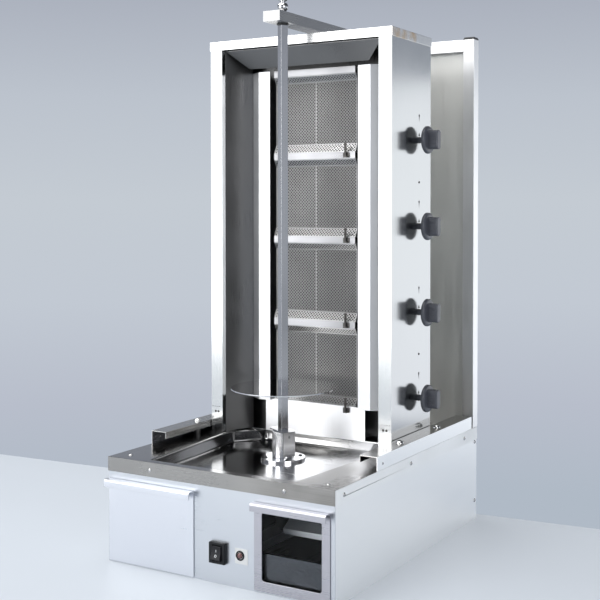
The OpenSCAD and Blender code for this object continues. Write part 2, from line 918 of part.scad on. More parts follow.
// Foot plate: its edges run under the rails, and it is open over the pan
module cabinet_base() {
    color("gray") {
        difference() {
            block([-flange_half, cab_y, foot_z], [flange_half, cab_back, floor_z]);
            block([-cutout_half, cab_y - over, foot_z - over],
                [cutout_half, guard_y - 2, floor_z + over]);
        }
        both_sides() difference() {
            block([cab_half - stile_w + 2, cab_y + sheet, floor_z],
                [cab_half - 2, cab_y + sheet + base_plate_t, floor_z + tab_h]);
            stile_screw_places() screw_hole();
        }
    }
}

module stile_screw_places() {
    for (x = [-3.5, 3.5])
        translate([cab_half - stile_w / 2 + x, cab_y, floor_z + tab_h - 11])
            rotate([90, 0, 0]) children();
}

// A side with the stile folded in front, its return, and a flange at the back
module cabinet_side() {
    high = cab_top - sheet - floor_z;
    difference() {
        translate([0, 0, floor_z]) linear_extrude(high) {
            translate([cab_half - sheet, cab_y]) square([sheet, cabinet_d]);
            translate([cab_half - stile_w, cab_y]) square([stile_w, sheet]);
            translate([cab_half - stile_w, cab_y]) square([sheet, 12]);
            translate([cab_half - 14, cab_back - sheet]) square([14, sheet]);
        }
        stile_screw_places() screw_hole();
    }
}

module cabinet_left() {
    color("gainsboro") mirror([1, 0, 0]) cabinet_side();
}

module cabinet_right() {
    color("gainsboro") difference() {
        cabinet_side();
        for (n = [1:burners])
            translate([cab_half - sheet - over, knob_y, knob_z(n)])
                bar_x(sleeve_r + 1, sheet + 2 * over);
        side_dot_places() screw_hole();
    }
}

module side_dot_places() {
    for (n = [1, 3])
        translate([cab_half, knob_y, knob_z(n) - burner_pitch / 2 + 2])
            rotate([0, 90, 0]) children();
}

// Rear cover with cooling slots
module cabinet_back() {
    slot = [70, 6];
    color("silver") difference() {
        block([-cab_half + 2, cab_back, floor_z + 3], [cab_half - 2, cab_back + sheet,
            cab_top - cover_skirt - 1]);
        for (x = [-90, 0, 90], row = [0:7])
            translate([x - slot[0] / 2, cab_back - over, cab_top - 220 + 20 * row])
                cube([slot[0], sheet + 2 * over, slot[1]]);
        translate([manifold_x, cab_back - over, inlet_z])
            bar_y(inlet_r + 1 + hole_gap, sheet + 2 * over);
    }
}

module cabinet_top() {
    color("white") difference() {
        block([-cab_half - sheet, cab_y - sheet, cab_top - cover_skirt],
            [cab_half + sheet, cab_back + sheet, cab_top]);
        block([-cab_half, cab_y, cab_top - cover_skirt - over], [cab_half, cab_back, cab_top - sheet]);
    }
}

// Inner back and ceiling of the open bay, with slanted sides and a slanted hood over the burners
module bay_liner() {
    half = cab_half - sheet;
    color("dimgray") difference() {
        union() {
            block([-half, liner_y, floor_z], [half, liner_y + sheet, ceiling_z + sheet]);
            block([-half, cab_y + 13, ceiling_z], [half, liner_y + sheet, ceiling_z + sheet]);
            both_sides() bay_side();
            bay_hood();
        }
        for (n = [1:burners])
            translate([nipple_x, liner_y - over, knob_z(n)])
                bar_y(nipple_r + hole_gap, sheet + 2 * over);
    }
}

// Slanted side of the bay, from the stile's return to the leg of the shield
module bay_side() {
    front = [cab_half - stile_w, bay_y + 0.2];
    translate([0, 0, floor_z]) linear_extrude(ceiling_z - floor_z)
        polygon([front, shield_tail, shield_tail + [sheet, 0], front + [sheet, 0]]);
}
// Slanted hood that leads from the lintel down to the burners, narrower behind
module bay_hood() {
    y = [bay_y + 1, bay_y + 1 + hood_d];
    z = [ceiling_z, ceiling_z - hood_drop];
    x = [cab_half - stile_w - 1, cab_half - stile_w - 1 - hood_taper];
    intersection() {
        rotate([90, 0, 90]) translate([0, 0, -x[0]]) linear_extrude(2 * x[0])
            polygon([[y[0], z[0]], [y[1], z[1]], [y[1] + sheet, z[1]], [y[0] + 2 * sheet, z[0]]]);
        translate([0, 0, z[1] - over]) linear_extrude(hood_drop + 2 * over)
            polygon([[-x[0], y[0]], [x[0], y[0]], [x[1], y[1] + sheet], [-x[1], y[1] + sheet]]);
    }
}
// Bright cover under the burners, with a ledge back to the liner
module lower_panel() {
    half = burner_w / 2 + panel_side;
    top = stack_z + shelf_h / 2;
    y = lip_front;
    color("whitesmoke") {
        block([-half, y, floor_z], [half, y + sheet, top]);
        block([-half, y + sheet, top - sheet], [half, liner_y, top]);
    }
}

// A pair of bent plates beside the burners, each on a leg from the liner
module heat_shields() {
    edge = [burner_w / 2 + 8, guard_y - 12.5];
    bend = edge + [shield_w, 0];
    tail = shield_tail;
    low = stack_z + shelf_h / 2 - 3;
    color("white") both_sides() translate([0, 0, low])
        linear_extrude(stack_top + shelf_h / 2 - low) {
            translate(edge) square([shield_w, sheet]);
            polygon([bend, tail, tail + [0, sheet], bend + [0, sheet]]);
            translate(tail - [sheet, 0]) square([sheet, liner_y - tail[1]]);
        }
}

// Four trays that hold the tiles; each has a nipple through the liner
module burner_boxes() {
    half_h = guard_h / 2;
    color("silver") for (n = [1:burners]) translate([0, box_y, burner_z(n)]) {
        difference() {
            block([-burner_w / 2, 0, -half_h], [burner_w / 2, box_d, half_h]);
            block([-burner_w / 2 + sheet, -over, -half_h + sheet],
                [burner_w / 2 - sheet, box_d - sheet, half_h - sheet]);
        }
        translate([nipple_x, box_d, -knob_drop]) bar_y(nipple_r, 8);
    }
}

// Two columns and two rows of ceramic tiles in each burner
module burner_tiles() {
    size = [burner_w / 2 - sheet - 0.5, guard_h / 2 - sheet - 0.5];
    color("tan") for (n = [1:burners], x = [-1, 1], z = [-1, 1])
        translate([x * (size[0] / 2 + 0.5), box_y + box_d - sheet, burner_z(n) + z * (size[1] / 2 + 0.5)])
            rotate([90, 0, 0]) linear_extrude(tile_t) square(size, center = true);
}

// Barred guards: a face, a sloped lip over and under it, and a rim folded back
module burner_guards() {
    half = [burner_w / 2, guard_h / 2];
    low = -half[1] + lip_low;
    high = half[1] - lip_high;
    face = [burner_w, high - low];
    count = [floor((face[0] - 8) / guard_pitch), floor((face[1] - 4) / guard_pitch)];
    hole = guard_pitch - guard_bar;
    color("darkgray") for (n = [1:burners]) translate([0, guard_y, burner_z(n)]) {
        translate([0, sheet, (low + high) / 2]) rotate([90, 0, 0]) linear_extrude(sheet) difference() {
            square(face, center = true);
            for (i = [0:count[0] - 1], j = [0:count[1] - 1])
                translate([(i - (count[0] - 1) / 2) * guard_pitch, (j - (count[1] - 1) / 2) * guard_pitch])
                    square(hole, center = true);
        }
        guard_lip(low, -half[1]);
        guard_lip(high, half[1]);
        difference() {
            block([-half[0], sheet, low], [half[0], sheet + guard_rim, high]);
            block([-half[0] + sheet, 0, low + sheet],
                [half[0] - sheet, sheet + guard_rim + over, high - sheet]);
        }
    }
}

// A lip from the guard's face at one height to the shelves' front at another
module guard_lip(inner, outer) {
    front = lip_front - guard_y;
    color("darkgray") translate([-burner_w / 2, 0, 0]) rotate([90, 0, 90]) linear_extrude(burner_w)
        polygon([[0, inner], [sheet, inner], [front + sheet, outer], [front, outer]]);
}

// Bright channels over the burners
module burner_shelves() {
    half = shelf_h / 2;
    y = guard_y - shelf_proud;
    color("white") for (n = [1:burners]) translate([0, 0, stack_z + n * burner_pitch]) difference() {
        block([-burner_w / 2, y, -half], [burner_w / 2, box_y, half]);
        block([-burner_w / 2 - over, y + sheet, -half + sheet],
            [burner_w / 2 + over, box_y + over, half - sheet]);
    }
}

// Upright gas pipe with its inlet through the rear cover
module gas_manifold() {
    half = manifold_side / 2;
    low = floor_z + 30;
    high = knob_z(1) + 30;
    color("goldenrod") difference() {
        union() {
            block([manifold_x - half, manifold_y, low],
                [manifold_x + half, manifold_y + manifold_side, high]);
            translate([manifold_x, manifold_y + manifold_side, inlet_z]) {
                bar_y(inlet_r, cab_back + sheet + inlet_out - manifold_y - manifold_side);
                bar_y(inlet_r + 1, cab_back + sheet + 1 - manifold_y - manifold_side);
            }
        }
        block([manifold_x - half + 2, manifold_y + 2, low + 2],
            [manifold_x + half - 2, manifold_y + manifold_side - 2, high - 2]);
        translate([manifold_x, manifold_y + half, inlet_z])
            bar_y(inlet_r - 3, cab_back + sheet + inlet_out + over - manifold_y - half);
    }
}

// Taps: each takes gas from the manifold and is turned by its knob's sleeve
module gas_valves() {
    color("goldenrod") for (n = [1:burners]) translate([valve_x, knob_y, knob_z(n)]) difference() {
        union() {
            bar_x(valve_r, valve_len);
            translate([manifold_x - valve_x, 0, 0]) bar_y(tube_r + 1, manifold_y - knob_y);
            translate([-8, 0, 0]) bar_x(tube_r + 2, 8);
        }
        translate([sleeve_x - valve_x - push - 1, 0, 0])
            bar_x(sleeve_r + run_gap, valve_len);
        translate([plunger_x - valve_x - push - 1, 0, 0])
            bar_x(plunger_r + run_gap, valve_len);
    }
}

// Pipes from the taps to the burners' nipples
module feed_tubes() {
    block_half = 8;
    color("peru") for (n = [1:burners]) translate([nipple_x, knob_y, knob_z(n)]) {
        block([-block_half, liner_y + 8 - knob_y, -block_half],
            [block_half, block_half, block_half]);
        translate([block_half, 0, 0]) bar_x(tube_r, valve_x - 8 - nipple_x - block_half);
    }
}

// A probe on a bracket at the lower right of each burner
module thermocouples() {
    x = burner_w / 2 - probe_inset;
    y = guard_y - shelf_proud;
    low = -guard_h / 2 - shelf_h / 2;
    color("dimgray") for (n = [1:burners]) translate([x, y, burner_z(n) + low]) {
        block([-7, -2, -5], [7, 0, 5]);
        block([-4, -2 - 2 * probe_r, -5], [4, -2, -2]);
        translate([0, -2 - probe_r, -5]) cylinder(r = probe_r, h = probe_len);
    }
}

module cabinet_screws() {
    color("silver") {
        both_sides() stile_screw_places() screw_small();
        side_dot_places() screw_small();
    }
}

// A flat-headed small screw
module screw_small() {
    cylinder(r = small_head_r, h = 1.2);
    translate([0, 0, -sheet - 2]) cylinder(r = small_screw_r, h = sheet + 2);
}

// ---------------------------------------------------------------- knobs

// Pin inside a knob's sleeve: it opens the safety valve when the knob is pushed
module plunger(n) {
    color("silver") translate([plunger_x, knob_y, knob_z(n)])
        bar_x(plunger_r, knob_x + knob_skirt + 4 - plunger_x);
}

// Sleeve, skirt and a bar to hold; the bar stands upright when the gas is off
module knob(n) {
    grip_r = knob_r * 0.69;
    bar_half = 8;
    color("black") translate([0, knob_y, knob_z(n)]) difference() {
        union() {
            translate([sleeve_x, 0, 0]) bar_x(sleeve_r, knob_x - sleeve_x + 1);
            translate([knob_x, 0, 0]) rotate([0, 90, 0]) rotate_extrude()
                polygon([[0, 0], [knob_r - 1, 0], [knob_r, 1], [knob_r, knob_skirt - 3],
                    [knob_r - 4, knob_skirt], [0, knob_skirt]]);
            translate([knob_x + knob_skirt - over, 0, 0]) intersection() {
                bar_x(grip_r, knob_grip + over);
                block([0, -bar_half, -knob_r], [knob_grip + over, bar_half, knob_r]);
            }
        }
        translate([sleeve_x - over, 0, 0])
            bar_x(plunger_r + run_gap, knob_x + knob_skirt + 4 + hole_gap - sleeve_x + over);
    }
}

module plunger_1() plunger(1);
module plunger_2() plunger(2);
module plunger_3() plunger(3);
module plunger_4() plunger(4);
module knob_1() knob(1);
module knob_2() knob(2);
module knob_3() knob(3);
module knob_4() knob(4);

base_shell();
front_panel();
back_panel();
deck_pan();
deck_screws();
guide_rails();
rail_spacers();
dome_bolts();
rear_posts();
top_tube();
rear_panel();
post_caps();
top_arm();
arm_bushing();
top_pin();
motor_bracket();
gearbox();
motor();
bearing_flange();
drive_shaft();
drive_cup();
cup_strap();
spindle();
meat_disc();
drip_chute();
drawer_runners();
left_drawer_front();
left_drawer_box();
right_drawer_front();
right_drawer_box();
drawer_window();
switch_housing();
rocker();
indicator_lamp();
cable_gland();
cabinet_base();
cabinet_left();
cabinet_right();
cabinet_back();
cabinet_top();
bay_liner();
lower_panel();
heat_shields();
burner_boxes();
burner_tiles();
burner_guards();
burner_shelves();
gas_manifold();
gas_valves();
feed_tubes();
thermocouples();
cabinet_screws();
plunger_1();
plunger_2();
plunger_3();
plunger_4();
knob_1();
knob_2();
knob_3();
knob_4();
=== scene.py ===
"""Looks of an upright gas broiler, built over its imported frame."""
import json
import math

import bmesh
import bpy
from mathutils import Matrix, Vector

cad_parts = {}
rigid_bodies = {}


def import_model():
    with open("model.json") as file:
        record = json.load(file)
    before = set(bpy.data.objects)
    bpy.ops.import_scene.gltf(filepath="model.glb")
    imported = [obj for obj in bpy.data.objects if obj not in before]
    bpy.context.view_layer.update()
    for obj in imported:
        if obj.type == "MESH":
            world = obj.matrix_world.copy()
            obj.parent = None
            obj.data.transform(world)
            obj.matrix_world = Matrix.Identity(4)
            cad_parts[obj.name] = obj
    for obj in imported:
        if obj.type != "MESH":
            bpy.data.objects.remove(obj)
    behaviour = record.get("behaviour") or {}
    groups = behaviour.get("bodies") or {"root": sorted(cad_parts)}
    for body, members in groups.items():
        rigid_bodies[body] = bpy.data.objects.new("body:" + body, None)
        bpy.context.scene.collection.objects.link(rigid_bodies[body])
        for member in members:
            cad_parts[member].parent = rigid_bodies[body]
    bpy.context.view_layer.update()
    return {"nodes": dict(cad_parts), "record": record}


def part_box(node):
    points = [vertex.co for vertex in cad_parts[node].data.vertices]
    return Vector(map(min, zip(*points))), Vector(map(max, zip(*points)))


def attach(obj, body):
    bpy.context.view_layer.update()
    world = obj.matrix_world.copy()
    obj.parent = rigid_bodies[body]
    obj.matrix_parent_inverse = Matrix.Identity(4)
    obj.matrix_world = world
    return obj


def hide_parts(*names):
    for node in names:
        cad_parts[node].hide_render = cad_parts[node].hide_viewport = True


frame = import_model()
SLOT = {part["node"]: part["material_slot"] for part in frame["record"]["subparts"]}
BODY = {name: body for body, names in frame["record"]["behaviour"]["bodies"].items() for name in names}

bl_info = {
    "name": "Upright gas broiler",
    "version": (1, 0, 0),
    "blender": (4, 5, 0),
    "location": "View3D > Sidebar > Broiler",
    "description": "Dresses the packed frame of an upright gas broiler with detailed pieces and finishes",
    "category": "Object",
}

MM = 0.001
SHEET = 1.5  # thickness of the folded sheets, in mm

# Places in metres where one piece's finish changes; some of them bound painted shade and painted reflections
OUTER_FACE = 0.2496  # only the outer sides of the deck and rails lie further from the middle
SKIRT_FRONT = -0.3108  # everything further forward is the skirt's front
DISH = (0.1985, 0.1998)  # from the dish's sunken part to the deck
# The rails' hollow, inside these, is painted near-black as painted shade.
FOLD_INSIDE = (0.2152, 0.2489, 0.2247)  # inner side, outer side and top of the rails' hollow
# Heat marks on the cover: x, y, z and radius in mm
HEAT_MARKS = ((214, -6, 1012, 30), (214, 18, 1006, 26), (214, 60, 1012, 22))

# Small parts that the frame doesn't hold, in mm
LAMP_PLATE = ((44.5, 43.3), (72.0, 71.0))  # its corners, across and up
REAR_SCREWS = (168, 41)  # heights of the screws at the base's rear edges
REAR_INSET = 12
RAIL_SCREWS = ((1, -138), (-1, -158))  # side, and place along it
RAIL_SCREW_DROP = 15.5
STILE_MARKS = (255.1, 256.0)  # lower and upper edge of the row
POINTER_RISE, FLAME_RISE = 10.5, 49  # over each knob's axis


# ---------------------------------------------------------------- sizes and looks


class BROILER_PG_guard(bpy.types.PropertyGroup):
    """Sizes of the perforated guards in front of the burners."""

    pitch: bpy.props.FloatProperty(
        name="Hole spacing", description="Distance between the guard's holes, in mm",
        default=4.7, min=3.0, max=12.0,
    )
    bar: bpy.props.FloatProperty(
        name="Bar width", description="Metal left between two holes, in mm", default=1.7, min=0.5, max=4.0,
    )
    lip_low: bpy.props.FloatProperty(
        name="Lower lip", description="Height of the sloped lip under the guard, in mm", default=17.0
    )
    lip_high: bpy.props.FloatProperty(
        name="Upper lip", description="Height of the sloped lip over the guard, in mm", default=13.0
    )


class BROILER_PG_knob(bpy.types.PropertyGroup):
    """Shape of a tap's knob."""

    ribs: bpy.props.IntProperty(
        name="Ribs", description="Fine ribs on each side of the grip", default=7, min=0, max=15
    )


class BROILER_PG_steel(bpy.types.PropertyGroup):
    """Finish shared by the brushed sheets."""

    grain: bpy.props.FloatProperty(
        name="Grain", description="Depth of the brushed grain",
        default=0.10, min=0.0, max=1.0, subtype="FACTOR",
    )
    tint: bpy.props.FloatVectorProperty(
        name="Heat tint", description="Colour of the heat marks on the cover", default=(0.62, 0.40, 0.17),
        min=0.0, max=1.0, subtype="COLOR",
    )


class BROILER_PG_stage(bpy.types.PropertyGroup):
    """Light and surroundings."""

    key: bpy.props.FloatProperty(
        name="Key light", description="Power of the front light, in watts", default=58.0, unit="POWER"
    )
    side: bpy.props.FloatProperty(
        name="Side light", description="Power of the side light, in watts", default=12.0, unit="POWER"
    )
    fill: bpy.props.FloatProperty(
        name="Fill light", description="Power of the light beside the camera, in watts",
        default=26.0, unit="POWER",
    )
    top: bpy.props.FloatProperty(
        name="Top light", description="Power of the overhead light, in watts", default=130.0, unit="POWER"
    )
    table: bpy.props.FloatVectorProperty(
        name="Table", description="Colour of the table", default=(0.28, 0.302, 0.33),
        min=0.0, max=1.0, subtype="COLOR",
    )
    glow: bpy.props.FloatProperty(
        name="Table glow", description="Light that the table gives by itself", default=1.0
    )


# ---------------------------------------------------------------- modelling helpers


def deselect():
    """Leave edit mode with nothing selected."""
    if bpy.context.mode != "OBJECT":
        bpy.ops.object.mode_set(mode="OBJECT")
    bpy.ops.object.select_all(action="DESELECT")


def hold(*pieces):
    """Make these the only selected objects; the first one is active."""
    deselect()
    for piece in pieces:
        piece.select_set(True)
    bpy.context.view_layer.objects.active = pieces[0]


def named(piece, name):
    """Give an object and its mesh one name."""
    piece.name = name
    piece.data.name = name
    return piece


def start(name):
    """A new empty mesh at the origin, in edit mode."""
    deselect()
    bpy.ops.object.add(type="MESH", location=(0, 0, 0))
    piece = named(bpy.context.object, name)
    bpy.ops.object.mode_set(mode="EDIT")
    bpy.ops.mesh.select_mode(type="FACE")
    return piece


def edit(piece, kind="FACE"):
    """Enter edit mode on a piece with everything selected."""
    hold(piece)
    bpy.ops.object.mode_set(mode="EDIT")
    bpy.ops.mesh.select_mode(type=kind)
    bpy.ops.mesh.select_all(action="SELECT")


def pick(piece, kind, test):
    """Select the faces, edges or points that pass a test, and only them."""
    bpy.ops.mesh.select_mode(type=kind)
    bpy.ops.mesh.select_all(action="DESELECT")
    mesh = bmesh.from_edit_mesh(piece.data)
    mesh.normal_update()
    parts = {"VERT": mesh.verts, "EDGE": mesh.edges, "FACE": mesh.faces}[kind]
    found = [part for part in parts if test(part)]
    for part in found:
        part.select = True
    mesh.select_flush_mode()
    bmesh.update_edit_mesh(piece.data)
    if not found:
        raise RuntimeError("nothing to select on " + piece.name)


def middle(part):
    """Middle of an edge or a face, in millimetres."""
    points = [v.co for v in part.verts]
    return sum(points, Vector()) / len(points) / MM


def block(low, high, edge=0.0):
    """A box between two corners in mm, its edges rounded, added to the open mesh."""
    low, high = Vector(low), Vector(high)
    bpy.ops.mesh.select_all(action="DESELECT")
    bpy.ops.mesh.primitive_cube_add(size=1, location=(low + high) / 2 * MM, scale=(high - low) * MM)
    if edge:
        bpy.ops.mesh.bevel(offset=edge * MM, segments=2, affect="EDGES")


def turned(centre, way, steps, sides=32):
    """A turned shape added to the open mesh: steps are (radius, distance from the centre) in mm."""
    centre, way = Vector(centre), Vector(way)
    radius, at = steps[0]
    bpy.ops.mesh.select_all(action="DESELECT")
    bpy.ops.mesh.primitive_circle_add(
        vertices=sides, radius=radius * MM, fill_type="NGON",
        location=(centre + way * at) * MM, rotation=way.to_track_quat("Z", "Y").to_euler(),
    )
    for new, to in steps[1:]:
        bpy.ops.mesh.extrude_region_move(TRANSFORM_OT_translate={"value": way * (to - at) * MM})
        if new != radius:
            bpy.ops.transform.resize(value=(new / radius,) * 3, center_override=(centre + way * to) * MM)
        radius, at = new, to
    bpy.ops.mesh.select_linked()
    bpy.ops.mesh.normals_make_consistent(inside=False)


def stack(piece, kind, **values):
    """Give a piece a modifier and apply it."""
    hold(piece)
    extra = piece.modifiers.new(kind.title(), kind)
    for name, value in values.items():
        setattr(extra, name, value)
    bpy.ops.object.modifier_apply(modifier=extra.name)


def settle(piece):
    """Apply an object's own place and turn to its mesh."""
    hold(piece)
    bpy.ops.object.transform_apply(location=True, rotation=True, scale=True)


def copy_of(piece, name, shift=(0, 0, 0), turn=(0, 0, 0)):
    """A copy with its own mesh, turned about the origin and then moved by mm."""
    hold(piece)
    bpy.ops.object.duplicate(linked=False)
    twin = named(bpy.context.object, name)
    twin.rotation_euler = turn
    twin.location = Vector(shift) * MM
    settle(twin)
    return twin


def one(name, *pieces):
    """Join pieces into one."""
    hold(*pieces)
    if len(pieces) > 1:
        bpy.ops.object.join()
    return named(bpy.context.object, name)


def remove(piece):
    """Delete a piece that has done its work."""
    hold(piece)
    bpy.ops.object.delete()


def cut(piece, tool):
    """Cut a tool's shape out of a piece and delete the tool."""
    stack(piece, "BOOLEAN", operation="DIFFERENCE", object=tool, solver="EXACT")
    remove(tool)


def close(piece, part, stands_in=True, slot=None, look=None, smooth=32, level=True):
    """Finish a piece: shading, the material of its slot or look, the part it rides with and whether it stands
    in for it.
    """
    hold(piece)
    bpy.ops.object.shade_smooth_by_angle(angle=math.radians(smooth))
    if level:
        stack(piece, "WEIGHTED_NORMAL", keep_sharp=True, weight=100)
    slot = slot or SLOT[part]
    piece.data.materials.clear()
    piece.data.materials.append(finish(look or slot))
    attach(piece, BODY[part])
    if stands_in:
        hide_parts(part)
    return piece


def merged(part):
    """A merged copy of a part's mesh, in object mode."""
    piece = bpy.data.objects.new(part + "_skin", frame["nodes"][part].data.copy())
    bpy.context.scene.collection.objects.link(piece)
    edit(piece, "VERT")
    if piece.data.has_custom_normals:
        bpy.ops.mesh.customdata_custom_splitnormals_clear()
    bpy.ops.mesh.remove_doubles(threshold=0.00001)
    bpy.ops.mesh.dissolve_limited(angle_limit=math.radians(0.6))
    deselect()
    return piece


def dress(part, width=0.4, segments=2, look=None, smooth=32):
    """Stand in for a part with a copy whose sharp edges are rounded."""
    piece = merged(part)
    stack(
        piece, "BEVEL", width=width * MM, segments=segments, limit_method="ANGLE",
        angle_limit=math.radians(40), miter_outer="MITER_ARC", use_clamp_overlap=True,
    )
    return close(piece, part, look=look, smooth=smooth)


def repaint(*parts):
    """Give parts whose own shape is right their material."""
    for part in parts:
        piece = frame["nodes"][part]
        piece.data.materials.clear()
        piece.data.materials.append(finish(SLOT[part]))
        for holder in piece.material_slots:
            holder.material = finish(SLOT[part])


def box_mm(part):
    """Lowest and highest corner of a part, in mm."""
    low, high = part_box(part)
    return Vector(low) / MM, Vector(high) / MM


def islands(part):
    """Lowest and highest corners, in mm, of a part's separate solids, from the top down."""
    mesh = bmesh.new()
    mesh.from_mesh(frame["nodes"][part].data)
    bmesh.ops.remove_doubles(mesh, verts=mesh.verts, dist=0.00001)
    left = set(mesh.verts)
    found = []
    while left:
        front = [left.pop()]
        group = []
        while front:
            point = front.pop()
            group.append(point.co.copy())
            for line in point.link_edges:
                other = line.other_vert(point)
                if other in left:
                    left.remove(other)
                    front.append(other)
        corners = [Vector([most(p[i] for p in group) for i in range(3)]) / MM for most in (min, max)]
        found.append(corners)
    mesh.free()
    return sorted(found, key=lambda pair: (-round(pair[0].z, 1), round(pair[0].x, 1), round(pair[0].y, 1)))


def seat(low, high, head):
    """Place and turn of a screw's head of a given height: upright, out to its side, or towards the front."""
    mid, size = (low + high) / 2, high - low
    wide = sorted(size)[1]
    axis = max(range(3), key=lambda number: abs(size[number] - wide))
    if axis == 2:
        return (mid.x, mid.y, high.z - head), (0, 0, 0)
    if axis == 0:
        side = 1 if mid.x > 0 else -1
        return ((high.x if side > 0 else low.x) - side * head, mid.y, mid.z), (0, side * math.pi / 2, 0)
    return (mid.x, low.y + head, mid.z), (math.pi / 2, 0, 0)


# ---------------------------------------------------------------- shader helpers


def feed(made, values):
    """Set a shader node's inputs, by name or number, to plain values or to other nodes' outputs."""
    for name, value in values.items():
        if isinstance(value, bpy.types.NodeSocket):
            made.id_data.links.new(value, made.inputs[name])
        else:
            made.inputs[name].default_value = value


def node(tree, kind, values=None, **settings):
    """A shader node with its settings and inputs."""
    made = tree.nodes.new("ShaderNode" + kind)
    for name, value in settings.items():
        setattr(made, name, value)
    feed(made, values or {})
    return made


def maths(tree, operation, *values, **settings):
    """What a maths node makes of numbers and outputs."""
    return node(tree, "Math", dict(enumerate(values)), operation=operation, **settings).outputs[0]


def span(tree, value, start=0.0, end=1.0, low=0.0, high=1.0):
    """A value taken from one span of numbers to another."""
    values = {"Value": value, "From Min": start, "From Max": end, "To Min": low, "To Max": high}
    return node(tree, "MapRange", values).outputs[0]


def mixed(tree, low, high, fac, **settings):
    """A colour between two; each is a plain colour or an output."""
    low, high = (c if isinstance(c, bpy.types.NodeSocket) else (*c, 1) for c in (low, high))
    values = {"Factor": fac, "A": low, "B": high}
    return node(tree, "Mix", values, data_type="RGBA", **settings).outputs["Result"]


def effect(name, inputs, outputs):
    """A node group with named sockets: the group, what comes in, and the node that hands on."""
    group = bpy.data.node_groups.new(name, "ShaderNodeTree")
    for label, kind, value in inputs:
        group.interface.new_socket(name=label, in_out="INPUT", socket_type=kind).default_value = value
    for label, kind in outputs:
        group.interface.new_socket(name=label, in_out="OUTPUT", socket_type=kind)
    return group, group.nodes.new("NodeGroupInput").outputs, group.nodes.new("NodeGroupOutput")


def brushed_grain(name):
    """Fine streaks along one direction, and the normal that they give."""
    group, given, end = effect(
        name,
        (("Vector", "NodeSocketVector", (0, 0, 0)), ("Stretch", "NodeSocketVector", (9, 9, 900)),
         ("Depth", "NodeSocketFloat", 0.1)),
        (("Streaks", "NodeSocketFloat"), ("Normal", "NodeSocketVector")),
    )
    stretched = node(group, "VectorMath", {0: given["Vector"], 1: given["Stretch"]}, operation="MULTIPLY")
    values = {"Vector": stretched.outputs[0], "Scale": 1.0, "Detail": 3.0, "Roughness": 0.65}
    fine = node(group, "TexNoise", values).outputs["Fac"]
    bump = node(group, "Bump", {"Height": fine, "Strength": given["Depth"], "Distance": 0.0004})
    feed(end, {"Streaks": fine, "Normal": bump.outputs[0]})
    return group


def cloudiness(name):
    """Broad soft patches, from 0 to 1."""
    group, given, end = effect(
        name,
        (("Vector", "NodeSocketVector", (0, 0, 0)), ("Scale", "NodeSocketFloat", 6.0)),
        (("Cloud", "NodeSocketFloat"),),
    )
    values = {"Vector": given["Vector"], "Scale": given["Scale"]}
    values |= {"Detail": 3.0, "Roughness": 0.55, "Distortion": 0.4}
    feed(end, {"Cloud": span(group, node(group, "TexNoise", values).outputs["Fac"], 0.3, 0.7)})
    return group


def shared(tree, make, values):
    """The outputs of a node group, which is made at its first use."""
    group = bpy.data.node_groups.get(make.__name__) or make(make.__name__)
    return node(tree, "Group", values, node_tree=group).outputs


def clouds(tree, place, scale):
    """Broad patches on a material, from 0 to 1."""
    return shared(tree, cloudiness, {"Vector": place, "Scale": scale})["Cloud"]


# ---------------------------------------------------------------- finishes


# How often the brushed streaks change along x, y and z
UP = (900.0, 900.0, 7.0)
ACROSS = (7.0, 900.0, 900.0)
ALONG = (900.0, 7.0, 900.0)
ANY = (160.0, 160.0, 160.0)


def blank(slot):
    """A slot's new material: its node tree, its shader, and the object coordinates."""
    material = bpy.data.materials.new(slot + "_finish")
    material.use_nodes = True
    tree = material.node_tree
    return tree, tree.nodes["Principled BSDF"], node(tree, "TexCoord").outputs["Object"]


def steel(slot, colour, rough, stretch, grain=None, cloud=0.08, dark=0.88, patches=6.0, spread=1.0):
    """Stainless steel: streaks change its colour, roughness and normal, and broad patches its roughness."""
    if grain is None:
        grain = bpy.context.scene.broiler_steel.grain
    tree, shader, place = blank(slot)
    brushed = shared(tree, brushed_grain, {"Vector": place, "Stretch": stretch, "Depth": grain})
    streaks = brushed["Streaks"]
    patch = span(tree, clouds(tree, place, patches), low=-cloud, high=cloud)
    fine = span(tree, streaks, 0.25, 0.75, rough * (1 - 0.2 * spread), rough * (1 + 0.25 * spread))
    tone = mixed(tree, [c * dark for c in colour], colour, streaks)
    rough = maths(tree, "ADD", patch, fine, use_clamp=True)
    feed(shader, {"Base Color": tone, "Metallic": 1.0, "Roughness": rough, "Normal": brushed["Normal"]})
    return tree, shader, place, tone, rough


def heat_tinted(slot):
    """The cover's steel, with straw-brown heat marks over the hottest corner."""
    tree, shader, place, tone, _ = steel(slot, (0.80, 0.80, 0.79), 0.22, ALONG, cloud=0.04)
    most = 0.0
    for *spot, radius in HEAT_MARKS:
        away = node(tree, "VectorMath", {0: place, 1: Vector(spot) * MM}, operation="DISTANCE")
        near = span(tree, away.outputs["Value"], radius * MM, radius * 0.3 * MM)
        most = maths(tree, "MAXIMUM", most, near)
    part = maths(tree, "MULTIPLY", most, clouds(tree, place, 30.0))
    feed(shader, {"Base Color": mixed(tree, tone, bpy.context.scene.broiler_steel.tint, part)})


def pale_sides(tree, shader, across, tone, rough, more):
    """Give the outer sides of the deck or rails the pale satin of the base's sides."""
    side = maths(tree, "GREATER_THAN", maths(tree, "ABSOLUTE", across), OUTER_FACE)
    rough = maths(tree, "MULTIPLY_ADD", side, more, rough)
    feed(shader, {"Base Color": mixed(tree, tone, (0.95, 0.96, 0.96), side), "Roughness": rough})


